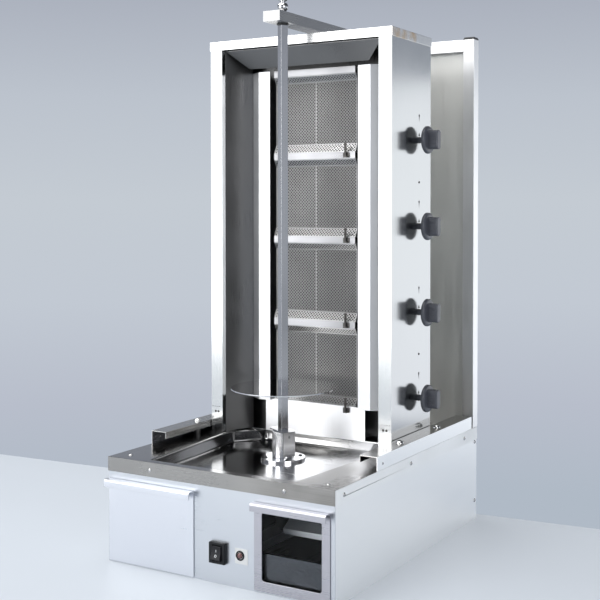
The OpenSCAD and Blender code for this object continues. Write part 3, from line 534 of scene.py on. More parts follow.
def pan_finish(slot):
    """Polished in the dish, with a painted dark reflection on its left and a painted bright reflection on its
    right, and darker and rougher on the skirt's front.
    """
    tree, shader, place, tone, rough = steel(
        slot, (0.66, 0.65, 0.64), 0.19, ACROSS, grain=0.02, cloud=0.06, patches=9.0
    )
    x, y, z = node(tree, "SeparateXYZ", {0: place}).outputs
    skirt = maths(tree, "LESS_THAN", y, SKIRT_FRONT)
    deep = span(tree, z, *DISH, 1.0, 0.35)
    blur = span(tree, deep, low=1.0, high=span(tree, x, 0.03, 0.15, 0.6, 2.6))
    # Painted reflections of the bay: a dark one over the dish's left and a bright one over its right, both
    # only in the dish.
    soot_and_painted_reflection = maths(tree, "MULTIPLY", span(tree, x, -0.10, 0.10, 0.85, -0.3), deep)
    painted_bright_reflection = maths(tree, "MULTIPLY", span(tree, x, 0.0, 0.09), deep)
    layers = (((0.27, 0.27, 0.275), soot_and_painted_reflection), ((0.97, 0.97, 0.98), painted_bright_reflection), ((0.30, 0.295, 0.285), skirt))
    for over, part in layers:
        tone = mixed(tree, tone, over, part)
    rough = maths(tree, "MULTIPLY_ADD", skirt, 0.16, maths(tree, "MULTIPLY", blur, rough))
    pale_sides(tree, shader, x, tone, rough, 0.21)


def rail_finish(slot):
    """Brushed outside, and painted near-black inside the fold, as painted shade."""
    tree, shader, place, tone, rough = steel(slot, (0.60, 0.59, 0.57), 0.24, ALONG, grain=0.04, dark=0.95)
    x, _, z = node(tree, "SeparateXYZ", {0: place}).outputs
    inner, outer, top = FOLD_INSIDE
    aside = maths(tree, "ABSOLUTE", x)
    # The hollow inside the fold is painted near-black: painted shade where light hardly reaches.
    painted_shade_inside = maths(
        tree, "MULTIPLY", maths(tree, "LESS_THAN", aside, outer), maths(tree, "GREATER_THAN", aside, inner)
    )
    painted_shade_inside = maths(tree, "MULTIPLY", painted_shade_inside, maths(tree, "LESS_THAN", z, top))
    pale_sides(tree, shader, x, mixed(tree, tone, (0.055, 0.055, 0.06), painted_shade_inside), rough, 0.16)


def plastic(slot, colour, rough, coat=0.0, shine=0.5):
    """Moulded plastic or paint with a fine skin and slight sheen changes."""
    tree, shader, place = blank(slot)
    skin = node(tree, "TexNoise", {"Vector": place, "Scale": 900.0, "Detail": 2.0}).outputs["Fac"]
    feed(shader, {
        "Base Color": mixed(tree, [c * 0.8 for c in colour], colour, skin),
        "Roughness": span(tree, clouds(tree, place, 60.0), low=rough * 0.85, high=rough * 1.2),
        "Normal": node(tree, "Bump", {"Height": skin, "Strength": 0.06, "Distance": 0.0003}).outputs[0],
        "Coat Weight": coat,
        "Coat Roughness": 0.12,
        "Specular IOR Level": shine,
    })
    return shader


def lens(slot):
    """Dark red plastic that lets some light through."""
    feed(plastic(slot, (0.17, 0.065, 0.06), 0.15, coat=0.6), {"Transmission Weight": 0.25})


def ceramic(slot):
    """Near-black tile in soft patches, with rows of burner ports painted darker as painted shade in the
    holes.
    """
    tree, shader, place = blank(slot)
    rows = node(tree, "VectorMath", {0: place, 1: (400, 0, 400)}, operation="MULTIPLY").outputs[0]
    ports = node(tree, "TexVoronoi", {"Vector": rows, "Scale": 1.0, "Randomness": 0.0}).outputs["Distance"]
    tile = span(tree, ports, 0.22, 0.34)
    # The ports are painted darker than the tile: painted shade in the holes.
    tone = mixed(tree, (0.010, 0.010, 0.009), (0.06, 0.058, 0.056), tile)
    soot_and_painted_reflection = mixed(tree, (0.3, 0.3, 0.3), (1, 1, 1), clouds(tree, place, 25.0))
    feed(shader, {
        "Base Color": mixed(tree, tone, soot_and_painted_reflection, 0.5, blend_type="MULTIPLY"),
        "Roughness": 0.95,
        "Normal": node(tree, "Bump", {"Height": tile, "Strength": 0.5, "Distance": 0.001}).outputs[0],
    })


def pane(slot):
    """Clear glass with faint smears."""
    tree, shader, place = blank(slot)
    smears = clouds(tree, place, 18.0)
    feed(shader, {
        "Base Color": mixed(tree, (0.88, 0.90, 0.92), (0.93, 0.95, 0.96), smears),
        "Roughness": span(tree, smears, high=0.05),
        "Transmission Weight": 1.0,
        "IOR": 1.15,
    })


def table_paint(slot):
    """Pale table top with faint patches and a little light of its own."""
    look = bpy.context.scene.broiler_stage
    tree, shader, place = blank(slot)
    tone = mixed(tree, [c * 0.98 for c in look.table], look.table, clouds(tree, place, 1.5))
    feed(shader, {
        "Base Color": tone, "Roughness": 0.5, "Emission Color": tone, "Emission Strength": look.glow,
    })


# Colour, roughness, the streaks' direction and what else differs from the usual
STEELS = {
    "side_steel": ((0.95, 0.96, 0.96), 0.40, ALONG, dict(grain=0.03, cloud=0.04, dark=0.96)),
    "front_steel": ((0.55, 0.575, 0.61), 0.34, ACROSS, dict(grain=0.015, cloud=0.05, dark=0.97)),
    "screw_steel": ((0.55, 0.55, 0.55), 0.22, ANY, dict(grain=0.02)),
    # Near-black: painted shade in the gap under the rails, where the spacers sit.
    "spacer_steel": ((0.07, 0.07, 0.07), 0.45, ANY, dict(grain=0.02)),
    "bolt_steel": ((0.72, 0.72, 0.72), 0.14, ANY, dict(grain=0.02)),
    "panel_steel": ((0.82, 0.82, 0.79), 0.50, UP, dict(grain=0.03, cloud=0.06, dark=0.95)),
    "turned_steel": ((0.72, 0.72, 0.73), 0.14, UP, dict(grain=0.04, cloud=0.03)),
    "bracket_steel": ((0.34, 0.34, 0.35), 0.45, ANY, dict(grain=0.05)),
    "cast_housing": ((0.48, 0.48, 0.48), 0.5, ANY, dict(grain=0.4)),
    "strap_steel": ((0.40, 0.40, 0.405), 0.2, UP, dict(grain=0.05)),
    "spindle_steel": ((0.56, 0.555, 0.565), 0.18, UP, dict(grain=0.03, cloud=0.04)),
    "cup_steel": ((0.92, 0.93, 0.95), 0.20, UP, dict(grain=0.03, cloud=0.03)),
    "disc_mirror": ((0.74, 0.74, 0.74), 0.05, ANY, dict(grain=0.005, cloud=0.02)),
    # Inside the closed base, seen through the window: the drawer boxes are painted near-black as painted
    # shade, and the chute pale as painted light.
    "box_steel": ((0.09, 0.093, 0.10), 0.28, ALONG, dict(grain=0.05)),
    "chute_steel": ((0.95, 0.95, 0.95), 0.5, ALONG, dict(grain=0.05)),
    "drawer_steel": ((0.67, 0.69, 0.735), 0.33, ACROSS, dict(grain=0.0, cloud=0.05, dark=0.985, spread=0.2)),
    "window_frame": ((0.44, 0.435, 0.47), 0.30, ACROSS, dict(grain=0.015, cloud=0.06, dark=0.96)),
    "plate_pale": ((0.66, 0.66, 0.65), 0.5, ANY, dict(grain=0.02, dark=0.97)),
    "cabinet_steel": ((0.55, 0.56, 0.56), 0.15, UP, dict(grain=0.03, cloud=0.03, dark=0.96)),
    # Dark: painted shade deep in the burner bay.
    "liner_steel": ((0.20, 0.20, 0.20), 0.34, UP, dict(grain=0.04)),
    "shield_satin": ((0.74, 0.745, 0.76), 0.40, UP, dict(grain=0.03, cloud=0.04, dark=0.96)),
    "shelf_satin": ((0.36, 0.36, 0.37), 0.36, ACROSS, dict(grain=0.03)),
    # A darker copy of the frame's satin steel: painted shade for the dark reflection along the arm's side.
    "arm_steel": ((0.33, 0.33, 0.33), 0.24, ALONG, dict(grain=0.04, dark=0.95)),
    "panel_satin": ((0.95, 0.955, 0.965), 0.38, UP, dict(grain=0.06, cloud=0.04)),
    "post_satin": ((0.95, 0.95, 0.95), 0.42, UP, dict(grain=0.08, cloud=0.05)),
    "guard_steel": ((0.24, 0.24, 0.238), 0.42, ANY, dict(grain=0.05)),
    # A paler copy of the guard's steel for the lips, seam and bars: painted highlight where the lips tilt up
    # to the light.
    "lip_steel": ((0.50, 0.50, 0.50), 0.36, ANY, dict(grain=0.05)),
    "pipe_brass": ((0.62, 0.45, 0.20), 0.3, ANY, dict(grain=0.04)),
    "valve_brass": ((0.66, 0.49, 0.23), 0.35, ANY, dict(grain=0.15)),
    "probe_steel": ((0.10, 0.095, 0.09), 0.35, UP, dict(grain=0.04)),
}
PLASTICS = {
    "black_plastic": ((0.02, 0.02, 0.021), 0.5, {}),
    "bushing_plastic": ((0.025, 0.025, 0.025), 0.45, {}),
    "motor_paint": ((0.05, 0.055, 0.06), 0.4, dict(coat=0.3)),
    "switch_black": ((0.008, 0.009, 0.011), 0.42, dict(shine=0.22)),
    "rocker_black": ((0.010, 0.010, 0.013), 0.40, dict(shine=0.22)),
    "mark_white": ((0.62, 0.63, 0.64), 0.5, {}),
    "mark_dark": ((0.06, 0.065, 0.065), 0.5, {}),
    "knob_black": ((0.068, 0.072, 0.088), 0.36, dict(coat=0.2)),
}
OTHERS = {
    "pan_steel": pan_finish,
    "rail_steel": rail_finish,
    "cover_steel": heat_tinted,
    "tile_ceramic": ceramic,
    "window_glass": pane,
    "lamp_red": lens,
    "table_white": table_paint,
}


def finish(slot):
    """The material of a slot or a look, made at its first use."""
    if slot + "_finish" not in bpy.data.materials:
        if slot in OTHERS:
            OTHERS[slot](slot)
        else:
            *values, rest = STEELS.get(slot) or PLASTICS[slot]
            (steel if slot in STEELS else plastic)(slot, *values, **rest)
    return bpy.data.materials[slot + "_finish"]


# ---------------------------------------------------------------- pieces


class BROILER_OT_base(bpy.types.Operator):
    """Folded shell, panels and deck with its pressed pan"""

    bl_idname = "broiler.base"
    bl_label = "Base and pan"

    def execute(self, context):
        dress("base_shell", 0.6)
        dress("front_panel", 0.5)
        repaint("back_panel")
        # The chute's pale steel is painted light.
        dress("drip_chute", 0.3, look="chute_steel")
        self.deck()
        return {"FINISHED"}

    def deck(self):
        """Keep the upper skin of the deck, round its folds and the dish, and give it its thickness."""
        reach = box_mm("deck_pan")[1]
        piece = merged("deck_pan")

        def at_rim(part, margin):
            at = middle(part)
            return abs(at.x) > reach.x - margin or abs(at.y) > reach.y - margin

        def hidden(face):
            way = face.normal.z
            return not (way > 0.2 or (at_rim(face, 0.1) and abs(way) < 0.1))

        def bent(line, angle):
            return len(line.link_faces) == 2 and line.calc_face_angle(0) > math.radians(angle)

        edit(piece)
        pick(piece, "FACE", hidden)
        bpy.ops.mesh.delete(type="FACE")
        pick(piece, "EDGE", lambda line: bent(line, 25) and at_rim(line, 1))
        bpy.ops.mesh.bevel(offset=1.6 * MM, segments=3, affect="EDGES")
        pick(piece, "EDGE", lambda line: bent(line, 15) and not at_rim(line, 10))
        bpy.ops.mesh.bevel(offset=4.5 * MM, segments=4, affect="EDGES")
        stack(piece, "SOLIDIFY", thickness=SHEET * MM, offset=-1.0)
        close(piece, "deck_pan", smooth=40)


class BROILER_OT_frame(bpy.types.Operator):
    """Guide rails, rear frame and the arm over the spindle"""

    bl_idname = "broiler.frame"
    bl_label = "Rails, frame and arm"

    def execute(self, context):
        dress("guide_rails", 0.45)
        dress("rail_spacers", 0.5)
        dress("rear_posts", 0.7, 3, look="post_satin")
        dress("top_tube", 0.7, 3, look="post_satin")
        dress("rear_panel", 0.6)
        dress("post_caps", 0.8, 3)
        # The arm's darker steel is painted shade.
        dress("top_arm", 0.8, 3, look="arm_steel")
        return {"FINISHED"}


class BROILER_OT_spindle(bpy.types.Operator):
    """Bearing, cup, strap, square spindle, disc and the pin over them"""

    bl_idname = "broiler.spindle"
    bl_label = "Spindle and disc"

    def execute(self, context):
        dress("bearing_flange", 0.8, 3)
        dress("drive_shaft", 0.5)
        dress("drive_cup", 0.8, 3, look="cup_steel")
        dress("cup_strap", 0.5)
        dress("spindle", 1.0, 3)
        dress("meat_disc", 0.6, 3)
        dress("arm_bushing", 0.6)
        self.pin()
        return {"FINISHED"}

    def pin(self):
        """Turned pin with a collar that rests on the arm, and two beads over it"""
        low, high = box_mm("top_pin")
        arm = box_mm("top_arm")[1].z + 0.3
        steps = [(3.4, low.z), (4, low.z + 1), (4, low.z + 21), (6, low.z + 21)]
        steps += [(6, arm), (8, arm), (8, arm + 3)]
        bead, neck = 9.5, 1.5
        for number in range(2):
            foot = arm + 3 + 2 * bead * number
            for turn in range(-72, 73, 18):
                angle = math.radians(turn)
                steps.append((neck + bead * math.cos(angle), foot + bead * (1 + math.sin(angle))))
        steps = [step for step in steps if step[1] <= high.z] + [(2.0, high.z)]
        piece = start("top_pin_turned")
        turned(((low.x + high.x) / 2, (low.y + high.y) / 2, 0), (0, 0, 1), steps, 40)
        close(piece, "top_pin", smooth=50)


class BROILER_OT_drawers(bpy.types.Operator):
    """Drawer fronts with folded lips, their boxes and the window"""

    bl_idname = "broiler.drawers"
    bl_label = "Drawers"

    def execute(self, context):
        dress("left_drawer_front", 0.5, 3)
        dress("right_drawer_front", 0.5, 3, look="window_frame")
        dress("left_drawer_box", 0.4)
        dress("right_drawer_box", 0.4)
        dress("drawer_window", 0.3)
        return {"FINISHED"}


class BROILER_OT_switch(bpy.types.Operator):
    """Motor switch with its rocker, signal lamp and cable gland"""

    bl_idname = "broiler.switch"
    bl_label = "Switch and lamp"

    def execute(self, context):
        dress("switch_housing", 1.2, 3)
        rocker = dress("rocker", 0.6, 3)
        dress("cable_gland", 0.6)
        self.marks(rocker)
        self.lamp()
        return {"FINISHED"}

    def marks(self, rocker):
        """Line over a ring, each laid on one of the rocker's two slopes"""
        low, high = box_mm("rocker")
        mid = (low + high) / 2
        bpy.context.view_layer.update()
        line = start("rocker_line")
        block((-0.6, -0.12, -2.3), (0.6, 0.2, 2.3), 0.1)
        ring = start("rocker_ring")
        turned((0, 0, 0), (0, -1, 0), [(1.5, -0.2), (1.5, 0.12), (2.4, 0.12), (2.4, -0.2)])
        made = []
        for mark, rise in ((line, 4.6), (ring, -4.0)):
            deselect()
            found, place, way, _ = rocker.ray_cast(Vector((mid.x, low.y - 20, mid.z + rise)) * MM, (0, 1, 0))
            if not found:
                raise RuntimeError("no face under the rocker's mark")
            made.append(copy_of(mark, "mark", place / MM, (math.atan2(-way.z, -way.y), 0, 0)))
        remove(line)
        remove(ring)
        close(one("rocker_marks", *made), "rocker", stands_in=False, look="mark_white")

    def lamp(self):
        """Stepped bezel with a domed lens in it, on a bare plate"""
        low, high = box_mm("indicator_lamp")
        mid = (low + high) / 2
        radius = (high.x - low.x) / 2
        panel = box_mm("front_panel")[0].y
        centre, way = (mid.x, panel, mid.z), (0, -1, 0)
        bezel = start("lamp_bezel")
        steps = ((-2, -16), (-2, 0), (0, 0), (0, 1.4), (-0.6, 2.0), (-2.2, 2.2), (-2.8, 1.2), (-3.2, -3))
        turned(centre, way, [(radius + step, out) for step, out in steps], 40)
        close(bezel, "indicator_lamp", slot="switch_black")
        glass = start("lamp_lens")
        steps = ((-3.4, -2.8), (-3.4, 1.0), (-4.0, 2.6), (-5.2, 3.9), (-7, 4.6))
        turned(centre, way, [(radius + step, out) for step, out in steps])
        close(glass, "indicator_lamp", stands_in=False, smooth=60)
        plate = start("lamp_plate")
        (left, foot), (right, top) = LAMP_PLATE
        block((left, panel - 0.7, foot), (right, panel, top), 0.3)
        close(plate, "front_panel", stands_in=False, look="plate_pale")


class BROILER_OT_cabinet(bpy.types.Operator):
    """Sides, back, cover and lining of the sliding burner cabinet"""

    bl_idname = "broiler.cabinet"
    bl_label = "Burner cabinet"

    def execute(self, context):
        dress("cabinet_base", 0.4)
        dress("cabinet_left", 0.5)
        dress("cabinet_right", 0.5)
        dress("cabinet_back", 0.5)
        dress("cabinet_top", 0.5, 3)
        dress("bay_liner", 0.4)
        dress("lower_panel", 0.5, look="panel_satin")
        dress("heat_shields", 0.4, look="shield_satin", smooth=9)
        return {"FINISHED"}


class BROILER_OT_burners(bpy.types.Operator):
    """Perforated guards, shelves, tile boxes, tiles and probes"""

    bl_idname = "broiler.burners"
    bl_label = "Burners"

    def execute(self, context):
        dress("burner_boxes", 0.4)
        dress("burner_shelves", 0.5, look="shelf_satin")
        dress("thermocouples", 0.5)
        self.guards(context.scene.broiler_guard)
        repaint("burner_tiles")
        return {"FINISHED"}

    def sheet(self, name, width, height, sizes, corner, tilt):
        """A flat sheet with diagonal holes, its corner at a place in mm, tilted up about its lower edge"""
        piece = start(name)
        cells = int((width + height) / math.sqrt(2) / sizes.pitch) + 4
        bpy.ops.mesh.primitive_grid_add(
            x_subdivisions=cells, y_subdivisions=cells, size=cells * sizes.pitch * MM,
            location=(width / 2 * MM, height / 2 * MM, 0), rotation=(0, 0, math.pi / 4),
        )
        cuts = ((0, 0, (-1, 0, 0)), (width, 0, (1, 0, 0)), (0, 0, (0, -1, 0)), (0, height, (0, 1, 0)))
        for x, y, way in cuts:
            bpy.ops.mesh.select_all(action="SELECT")
            bpy.ops.mesh.bisect(plane_co=Vector((x, y, 0)) * MM, plane_no=way, clear_outer=True)
        bpy.ops.mesh.select_mode(type="FACE")
        bpy.ops.mesh.select_all(action="SELECT")
        bpy.ops.mesh.inset(thickness=sizes.bar / 2 * MM, use_individual=True, use_even_offset=False)
        bpy.ops.mesh.delete(type="FACE")
        deselect()
        piece.rotation_euler = (tilt, 0, 0)
        piece.location = Vector(corner) * MM
        settle(piece)
        return piece

    def guards(self, sizes):
        """One guard with its sloped lips, rim and seam, and copies for the other burners"""
        boxes = islands("burner_guards")
        low, high = boxes[0]
        width = high.x - low.x
        face_y = high.y - SHEET - 8
        depth = face_y - low.y
        face_low, face_high = low.z + sizes.lip_low, high.z - sizes.lip_high
        corner = (low.x, face_y + 0.2, face_low)
        face = self.sheet("guard_face", width, face_high - face_low, sizes, corner, math.pi / 2)
        lips = []
        for rise, z in ((sizes.lip_low, low.z), (-sizes.lip_high, high.z)):
            corner, slope = (low.x, low.y + 0.2, z), math.hypot(rise, depth)
            lips.append(self.sheet("guard_lip", width, slope, sizes, corner, math.atan2(rise, depth)))
        lips = one("guard_1_lips", *lips)
        for piece in (face, lips):
            stack(piece, "SOLIDIFY", thickness=0.8 * MM, offset=0.0)
        rim = start("guard_rim")
        block((low.x, face_y, face_low), (high.x, high.y, face_high))
        pick(rim, "FACE", lambda f: abs(f.normal.y) > 0.9)
        bpy.ops.mesh.delete(type="FACE")
        stack(rim, "SOLIDIFY", thickness=1.0 * MM, offset=-1.0)
        edges = start("guard_edges")
        for x in (low.x, high.x - 2.2):
            block((x, face_y - 0.3, face_low), (x + 2.2, face_y + 0.7, face_high), 0.2)
        guard = one("guard_1_mesh", face, rim, edges)
        seam = start("guard_1_seam")
        block((-0.8, face_y + 0.8, face_low + 1), (0.8, face_y + 1.6, face_high - 1), 0.3)
        for z in (low.z + 0.1, high.z - 1.3):
            block((low.x, low.y, z), (high.x, low.y + 1.2, z + 1.2), 0.3)
        lips = one("guard_1_lips", lips, seam)
        # The lips, seam and bars take a paler steel than the face: painted highlight.
        for piece, look in ((guard, "guard_steel"), (lips, "lip_steel")):
            made = [piece]
            for number in range(2, 5):
                drop = boxes[number - 1][0].z - low.z
                made.append(copy_of(piece, piece.name.replace("1", str(number)), (0, 0, drop)))
            for twin in made:
                close(twin, "burner_guards", stands_in=twin is guard, look=look, level=False)


class BROILER_OT_knobs(bpy.types.Operator):
    """Four tap knobs, each with a skirt and a ribbed bar to grip"""

    bl_idname = "broiler.knobs"
    bl_label = "Knobs"

    def execute(self, context):
        low, high = box_mm("knob_1")
        centre = (low + high) / 2
        radius = (high.z - low.z) / 2
        face = high.x - 28
        at = (0, centre.y, centre.z)
        piece = start("knob_1_moulded")
        turned(
            at, (1, 0, 0),
            [(6, low.x + 0.5), (6, face), (radius - 1.2, face), (radius, face + 1.2), (radius, face + 4.6),
             (radius - 0.7, face + 6.0), (radius - 2.4, face + 7.2), (radius - 6, face + 8), (8, face + 8.2)],
            64,
        )
        self.grip(piece, at, face + 7.6, high.x, radius, context.scene.broiler_knob.ribs)
        names = ["knob_%d" % number for number in range(1, 5)]
        feet = [box_mm(name)[0].z for name in names]
        made = [piece]
        for name, foot in zip(names[1:], feet[1:]):
            made.append(copy_of(piece, name + "_moulded", (0, 0, foot - low.z)))
        for name, knob in zip(names, made):
            close(knob, name, smooth=35)
            repaint(name.replace("knob", "plunger"))
        self.marks([foot + radius for foot in feet], centre.y)
        return {"FINISHED"}

    def grip(self, piece, at, foot, top, radius, ribs):
        """A bar with round ends and ribbed flanks"""
        half_z = radius * 0.69
        half_y = 8.6
        block((foot, at[1] - half_y, at[2] - half_z), (top, at[1] + half_y, at[2] + half_z))

        def corner(line):
            length = abs(line.verts[0].co.x - line.verts[1].co.x)
            return middle(line).x > foot - 1 and length > 0.01 and abs(middle(line).z - at[2]) > half_z - 1

        pick(piece, "EDGE", corner)
        bpy.ops.mesh.bevel(offset=6.5 * MM, segments=5, affect="EDGES")
        pick(piece, "FACE", lambda f: f.normal.x > 0.9 and middle(f).x > top - 0.5)
        bpy.ops.mesh.bevel(offset=2.2 * MM, segments=3, affect="EDGES")
        for number in range(ribs):
            z = at[2] + (number - (ribs - 1) / 2) * 3.4
            for y in (at[1] - half_y, at[1] + half_y):
                block((foot + 2, y - 0.7, z - 0.9), (top - 3.5, y + 0.7, z + 0.9), 0.5)

    def marks(self, heights, y):
        """Printed pointer and flame over each knob's hole"""
        side = box_mm("cabinet_right")[1].x
        made = []
        for z in heights:
            made.append(start("pointer"))
            turned((side, y, z + POINTER_RISE), (1, 0, 0), [(4.5, -0.1), (4.5, 0.12)], 3)
            flame = start("flame")
            turned((side, y, z + FLAME_RISE), (1, 0, 0), [(2.8, -0.1), (2.8, 0.12)], 12)
            tip = (z + FLAME_RISE - 2.6) * MM
            pick(flame, "VERT", lambda point: point.co.z < tip)
            bpy.ops.transform.translate(value=(0, 0, -9 * MM))
            made.append(flame)
        close(one("knob_marks", *made), "cabinet_right", stands_in=False, look="mark_dark")


class BROILER_OT_fasteners(bpy.types.Operator):
    """Domed screws and bolts with their recesses, and the marks over the stiles' screws"""

    bl_idname = "broiler.fasteners"
    bl_label = "Screws and bolts"

    def execute(self, context):
        screw = self.screw("screw_bright", 4.0, 2.0)
        deck, flange = [], []
        for low, high in islands("deck_screws"):
            place, turn = seat(low, high, 2.0)
            in_dish = turn == (0, 0, 0) and high.z < 195
            (flange if in_dish else deck).append((place, turn))
        wall, back = box_mm("base_shell")[1].x, box_mm("deck_pan")[1].y
        for side in (-1, 1):
            for z in REAR_SCREWS:
                deck.append(((side * wall, back - REAR_INSET, z), (0, side * math.pi / 2, 0)))
        self.place(screw, "deck_screws_cut", deck, "deck_screws")
        self.place(screw, "flange_screws_cut", flange, "deck_screws", stands_in=False, look="mark_dark")
        remove(screw)
        screw = self.screw("screw_small", 2.5, 1.2)
        cabinet = [seat(low, high, 1.2) for low, high in islands("cabinet_screws")]
        self.place(screw, "cabinet_screws_cut", cabinet, "cabinet_screws", slot="probe_steel")
        rail = box_mm("guide_rails")[1]
        rails = []
        for side, y in RAIL_SCREWS:
            rails.append(((side * rail.x, y, rail.z - RAIL_SCREW_DROP), (0, side * math.pi / 2, 0)))
        self.place(screw, "rail_screws_cut", rails, "deck_screws", stands_in=False)
        remove(screw)
        self.stile_marks()
        self.bolts()
        return {"FINISHED"}

    def place(self, head, name, spots, part, **rest):
        """Put a copy of a head at each place and turn, as one piece"""
        made = [copy_of(head, "head", place, turn) for place, turn in spots]
        close(one(name, *made), part, smooth=40, **rest)

    def screw(self, name, radius, height):
        """A domed head with a cross recess, its seat at the origin"""
        piece = start(name)
        steps = [(0.42, 0), (1, 0), (0.99, 0.25), (0.88, 0.6), (0.66, 0.85), (0.35, 0.98), (0.16, 1)]
        steps = [(radius * out, height * up) for out, up in steps]
        turned((0, 0, 0), (0, 0, 1), [(radius * 0.42, -4)] + steps, 24)
        bar, arm = radius * 0.13, radius * 0.55
        for x, y in ((arm, bar), (bar, arm)):
            tool = start("recess")
            block((-x, -y, height * 0.45), (x, y, height * 2))
            cut(piece, tool)
        return piece

    def bolts(self):
        """Domed bolts with a hexagon recess"""
        boxes = islands("dome_bolts")
        radius = (boxes[0][1].x - boxes[0][0].x) / 2
        head = start("bolt_head")
        steps = [(0.5, -12), (0.5, 0), (1, 0), (0.98, 1.0), (0.90, 2.2), (0.74, 3.6), (0.5, 4.6), (0.3, 5.0)]
        turned((0, 0, 0), (0, 0, 1), [(radius * out, up) for out, up in steps])
        tool = start("bolt_hexagon")
        turned((0, 0, 0), (0, 0, 1), [(radius * 0.36, 2.6), (radius * 0.36, 8)], 6)
        cut(head, tool)
        spots = []
        for low, high in boxes:
            mid = (low + high) / 2
            spots.append(((mid.x, mid.y, high.z - 5.0), (0, 0, 0)))
        self.place(head, "dome_bolts_cut", spots, "dome_bolts")
        remove(head)

    def stile_marks(self):
        """Row of four short marks over the screws of each stile"""
        low, high = box_mm("cabinet_right")
        piece = start("stile_marks")
        for side in (-1, 1):
            for number in range(4):
                x = side * (high.x - 3.5 - 5.6 * number)
                foot, top = STILE_MARKS
                block((x - 1.7, low.y - 0.15, foot), (x + 1.7, low.y + 0.2, top))
        close(piece, "cabinet_right", stands_in=False, look="mark_dark")


class BROILER_OT_inside(bpy.types.Operator):
    """Gear motor, runners and gas parts behind the covers"""

    bl_idname = "broiler.inside"
    bl_label = "Motor and gas parts"

    def execute(self, context):
        dress("gas_manifold", 0.6)
        repaint("motor_bracket", "gearbox", "motor", "drawer_runners", "gas_valves", "feed_tubes")
        return {"FINISHED"}


# ---------------------------------------------------------------- stage


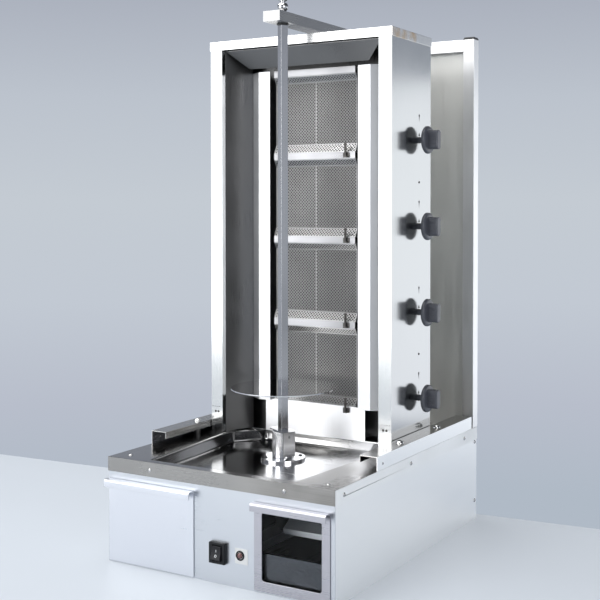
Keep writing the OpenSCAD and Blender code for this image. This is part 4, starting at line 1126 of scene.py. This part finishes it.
class BROILER_OT_stage(bpy.types.Operator):
    """Table, backdrop, lights and camera"""

    bl_idname = "broiler.stage"
    bl_label = "Stage"

    def execute(self, context):
        self.camera(context.scene)
        self.world(context.scene)
        self.table()
        self.lights(context.scene.broiler_stage)
        context.scene.view_settings.view_transform = "Standard"
        return {"FINISHED"}

    def camera(self, scene):
        """The view from the front right, with the frame shifted to sit as it should"""
        deselect()
        bpy.ops.object.camera_add(
            location=(1.1454, -1.8892, 0.676), rotation=(math.radians(88.71), 0, math.radians(30.43))
        )
        camera = bpy.context.object
        camera.name = "viewpoint"
        camera.data.lens = 65.28
        camera.data.sensor_width = 36
        camera.data.shift_x = -0.0324
        camera.data.shift_y = -0.1146
        camera.data.clip_end = 60
        scene.camera = camera

    def world(self, scene):
        """A wall that is palest at eye level and darkens upwards"""
        scene.world = bpy.data.worlds.new("studio")
        scene.world.use_nodes = True
        tree = scene.world.node_tree
        z = node(tree, "SeparateXYZ", {0: node(tree, "TexCoord").outputs["Generated"]}).outputs["Z"]
        ramp = node(tree, "ValToRGB", {"Fac": span(tree, z, -0.3, 0.7)})
        shades = (
            (-0.25, (176, 186, 198)), (-0.175, (184, 190, 203)), (-0.085, (194, 201, 211)),
            (0.006, (196, 203, 211)), (0.098, (188, 195, 205)), (0.182, (172, 178, 190)),
            (0.27, (118, 122, 130)), (0.42, (70, 73, 78)),
        )
        spots = ramp.color_ramp.elements
        while len(spots) < len(shades):
            spots.new(0.5)
        for spot, (height, shade) in zip(spots, shades):
            spot.position = height + 0.3
            spot.color = (*[linear(c) for c in shade], 1)
        feed(tree.nodes["Background"], {"Color": ramp.outputs["Color"]})

    def table(self):
        """A pale table whose far edge runs close behind the broiler"""
        turn = math.atan(0.0888)
        size = 12.0
        far = Vector((0.484, 0.361, 0))
        away = Vector((-math.sin(turn), math.cos(turn), 0))
        deselect()
        bpy.ops.mesh.primitive_plane_add(size=size, location=far - away * size / 2, rotation=(0, 0, turn))
        table = bpy.context.object
        table.name = "table_top"
        table.data.materials.append(finish("table_white"))

    def lights(self, look):
        """Soft boxes: in front on the left, overhead, behind on the right, and beside the camera"""
        boxes = (
            ("front_box", (-1.35, -2.7, 1.2), (0.0, -0.1, 0.7), (2.2, 2.6), look.key),
            ("top_box", (-0.6, -0.4, 2.9), (0.0, 0.0, 0.4), (3.0, 2.6), look.top),
            ("side_box", (1.95, 2.75, 0.45), (0.25, 0.0, 0.35), (2.8, 1.7), look.side),
            ("fill_box", (2.3, -1.6, 1.2), (0.1, 0.0, 0.5), (1.4, 1.4), look.fill),
        )
        for name, place, target, size, power in boxes:
            deselect()
            way = Vector(target) - Vector(place)
            turn = way.to_track_quat("-Z", "Y").to_euler()
            bpy.ops.object.light_add(type="AREA", location=place, rotation=turn)
            lamp = bpy.context.object
            lamp.name = name
            lamp.data.shape = "RECTANGLE"
            lamp.data.size, lamp.data.size_y = size
            lamp.data.energy = power
            lamp.visible_camera = False


def linear(value):
    """A display value from 0 to 255 as light."""
    value = value / 255.0
    return value / 12.92 if value <= 0.04045 else ((value + 0.055) / 1.055) ** 2.4


# ---------------------------------------------------------------- add-on


STEPS = (
    BROILER_OT_stage,
    BROILER_OT_base,
    BROILER_OT_frame,
    BROILER_OT_spindle,
    BROILER_OT_drawers,
    BROILER_OT_switch,
    BROILER_OT_cabinet,
    BROILER_OT_burners,
    BROILER_OT_knobs,
    BROILER_OT_fasteners,
    BROILER_OT_inside,
)
GROUPS = {
    "broiler_guard": BROILER_PG_guard,
    "broiler_knob": BROILER_PG_knob,
    "broiler_steel": BROILER_PG_steel,
    "broiler_stage": BROILER_PG_stage,
}


class BROILER_PT_panel(bpy.types.Panel):
    """Lists the steps that build the broiler"""

    bl_idname = "BROILER_PT_panel"
    bl_label = "Broiler"
    bl_space_type = "VIEW_3D"
    bl_region_type = "UI"
    bl_category = "Broiler"

    def draw(self, context):
        for step in STEPS:
            self.layout.operator(step.bl_idname)
        for name in GROUPS:
            group = getattr(context.scene, name)
            for key in group.bl_rna.properties.keys():
                if key not in ("rna_type", "name"):
                    self.layout.prop(group, key)


CLASSES = (*GROUPS.values(), *STEPS, BROILER_PT_panel)


def register():
    for kind in CLASSES:
        bpy.utils.register_class(kind)
    for name, kind in GROUPS.items():
        setattr(bpy.types.Scene, name, bpy.props.PointerProperty(type=kind))


def unregister():
    for name in GROUPS:
        delattr(bpy.types.Scene, name)
    for kind in reversed(CLASSES):
        bpy.utils.unregister_class(kind)


def main():
    register()
    for step in STEPS:
        group, name = step.bl_idname.split(".")
        getattr(getattr(bpy.ops, group), name)()
    deselect()


if __name__ == "__main__":
    main()
